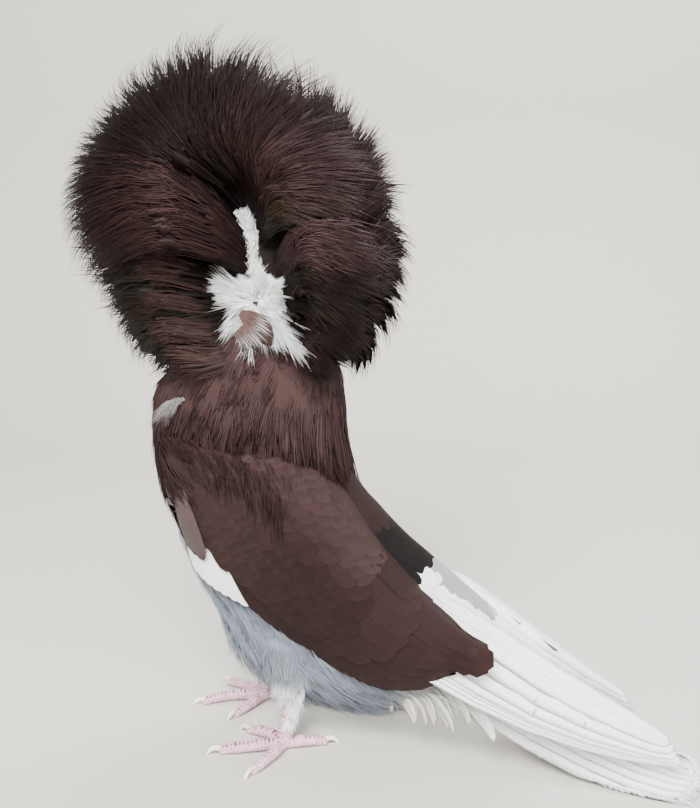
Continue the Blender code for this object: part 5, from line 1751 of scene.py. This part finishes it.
def area_light(name, place, target, size, power, colour=(1, 1, 1)):
    lamp = bpy.data.lights.new(name, "AREA")
    lamp.shape = "DISK"
    lamp.size = size
    lamp.energy = power
    lamp.color = colour
    holder = bpy.data.objects.new(name, lamp)
    holder.location = place
    aim = Vector(target) - Vector(place)
    holder.rotation_euler = aim.to_track_quat("-Z", "Y").to_euler()
    bpy.context.scene.collection.objects.link(holder)


def make_floor():
    """A pale floor that curves up into a wall on the far side of the bird."""
    away = Vector((-sin(CAMERA_AZIMUTH), cos(CAMERA_AZIMUTH), 0))
    right = Vector((cos(CAMERA_AZIMUTH), sin(CAMERA_AZIMUTH), 0))
    profile = [(-2.5, 0.0), (0.7, 0.0)]
    profile += [(0.7 + 0.5 * sin(radians(a)), 0.5 - 0.5 * cos(radians(a))) for a in range(6, 91, 6)]
    profile.append((1.2, 3.0))
    points, faces = [], []
    for k, (far, high) in enumerate(profile):
        points += [away * far + right * s + Vector((0, 0, high)) for s in (-3.0, 3.0)]
        if k:
            faces.append((2 * k - 2, 2 * k - 1, 2 * k + 1, 2 * k))
    mesh = bpy.data.meshes.new("floor")
    mesh.from_pydata(points, [], faces)
    mesh.shade_smooth()
    floor = bpy.data.objects.new("floor", mesh)
    bpy.context.scene.collection.objects.link(floor)
    made = bpy.data.materials.new("floor")
    made.use_nodes = True
    shader = made.node_tree.nodes["Principled BSDF"]
    shader.inputs["Base Color"].default_value = (0.52, 0.50, 0.455, 1.0)
    shader.inputs["Roughness"].default_value = 0.8
    mesh.materials.append(made)


def make_studio():
    make_camera()
    make_floor()
    area_light("key", (1.3, 0.1, 1.3), (0, 0, 0.15), 1.0, 110.0, (1.0, 0.99, 0.97))
    area_light("fill", (1.0, 1.3, 0.5), (0, 0, 0.15), 1.2, 34.0, (0.96, 0.98, 1.0))
    area_light("rim", (-1.0, 0.3, 1.4), (0, 0, 0.2), 0.8, 30.0)
    world = bpy.data.worlds.new("studio")
    bpy.context.scene.world = world
    world.use_nodes = True
    world.node_tree.nodes["Background"].inputs["Color"].default_value = (0.92, 0.95, 1.0, 1.0)
    world.node_tree.nodes["Background"].inputs["Strength"].default_value = 0.95


def main():
    strands = strand_material("ruff_strands", 0.5, 0.0)
    down = strand_material("down", 0.75, 0.4)
    brown = vane_material("brown_vanes", 34, 0.9, 0.6, 0.10)
    white = vane_material("white_vanes", 90, 1.2, 0.6, 0.2, 0.1, 0.25, 0.0001, 0.05)
    scales = horn_material("leg_scales", 0.5, 850.0, 0.0004, 0.3, (0.66, 0.38, 0.48))
    horn = horn_material("horn", 0.35, 1500.0, 0.00005)
    make_skin(skin_material("skin"))
    for side in SIDES:
        word = "left" if side == LEFT else "right"
        for name, lobes in (("outer", FAN_LOBES), ("lower", LOW_LOBES)):
            coat = Coat()
            outer_locks(coat, side, lobes)
            coat.build(f"ruff_{name}_{word}", strands, (f"hood_{word}",))
        coat = Coat()
        inner_locks(coat, side)
        coat.build(f"ruff_inner_{word}", strands)
        coat = Coat()
        star_tufts(coat, side)
        oval_feather(coat, side)
        coat.build(f"rose_down_{word}", down)
        dress_wing(side, brown, white, strands)
        coat = Coat()
        stockings(coat, side)
        coat.build(f"stocking_{word}", down)
        dress_foot(side, scales, horn)
        dress_eye(side, eye_material(f"eye_{word}"), horn)
    dress_body(brown, down, strands)
    dress_saddle(brown, white)
    dress_tail(white)
    dress_head(white)
    dress_bill(horn)
    make_studio()


main()
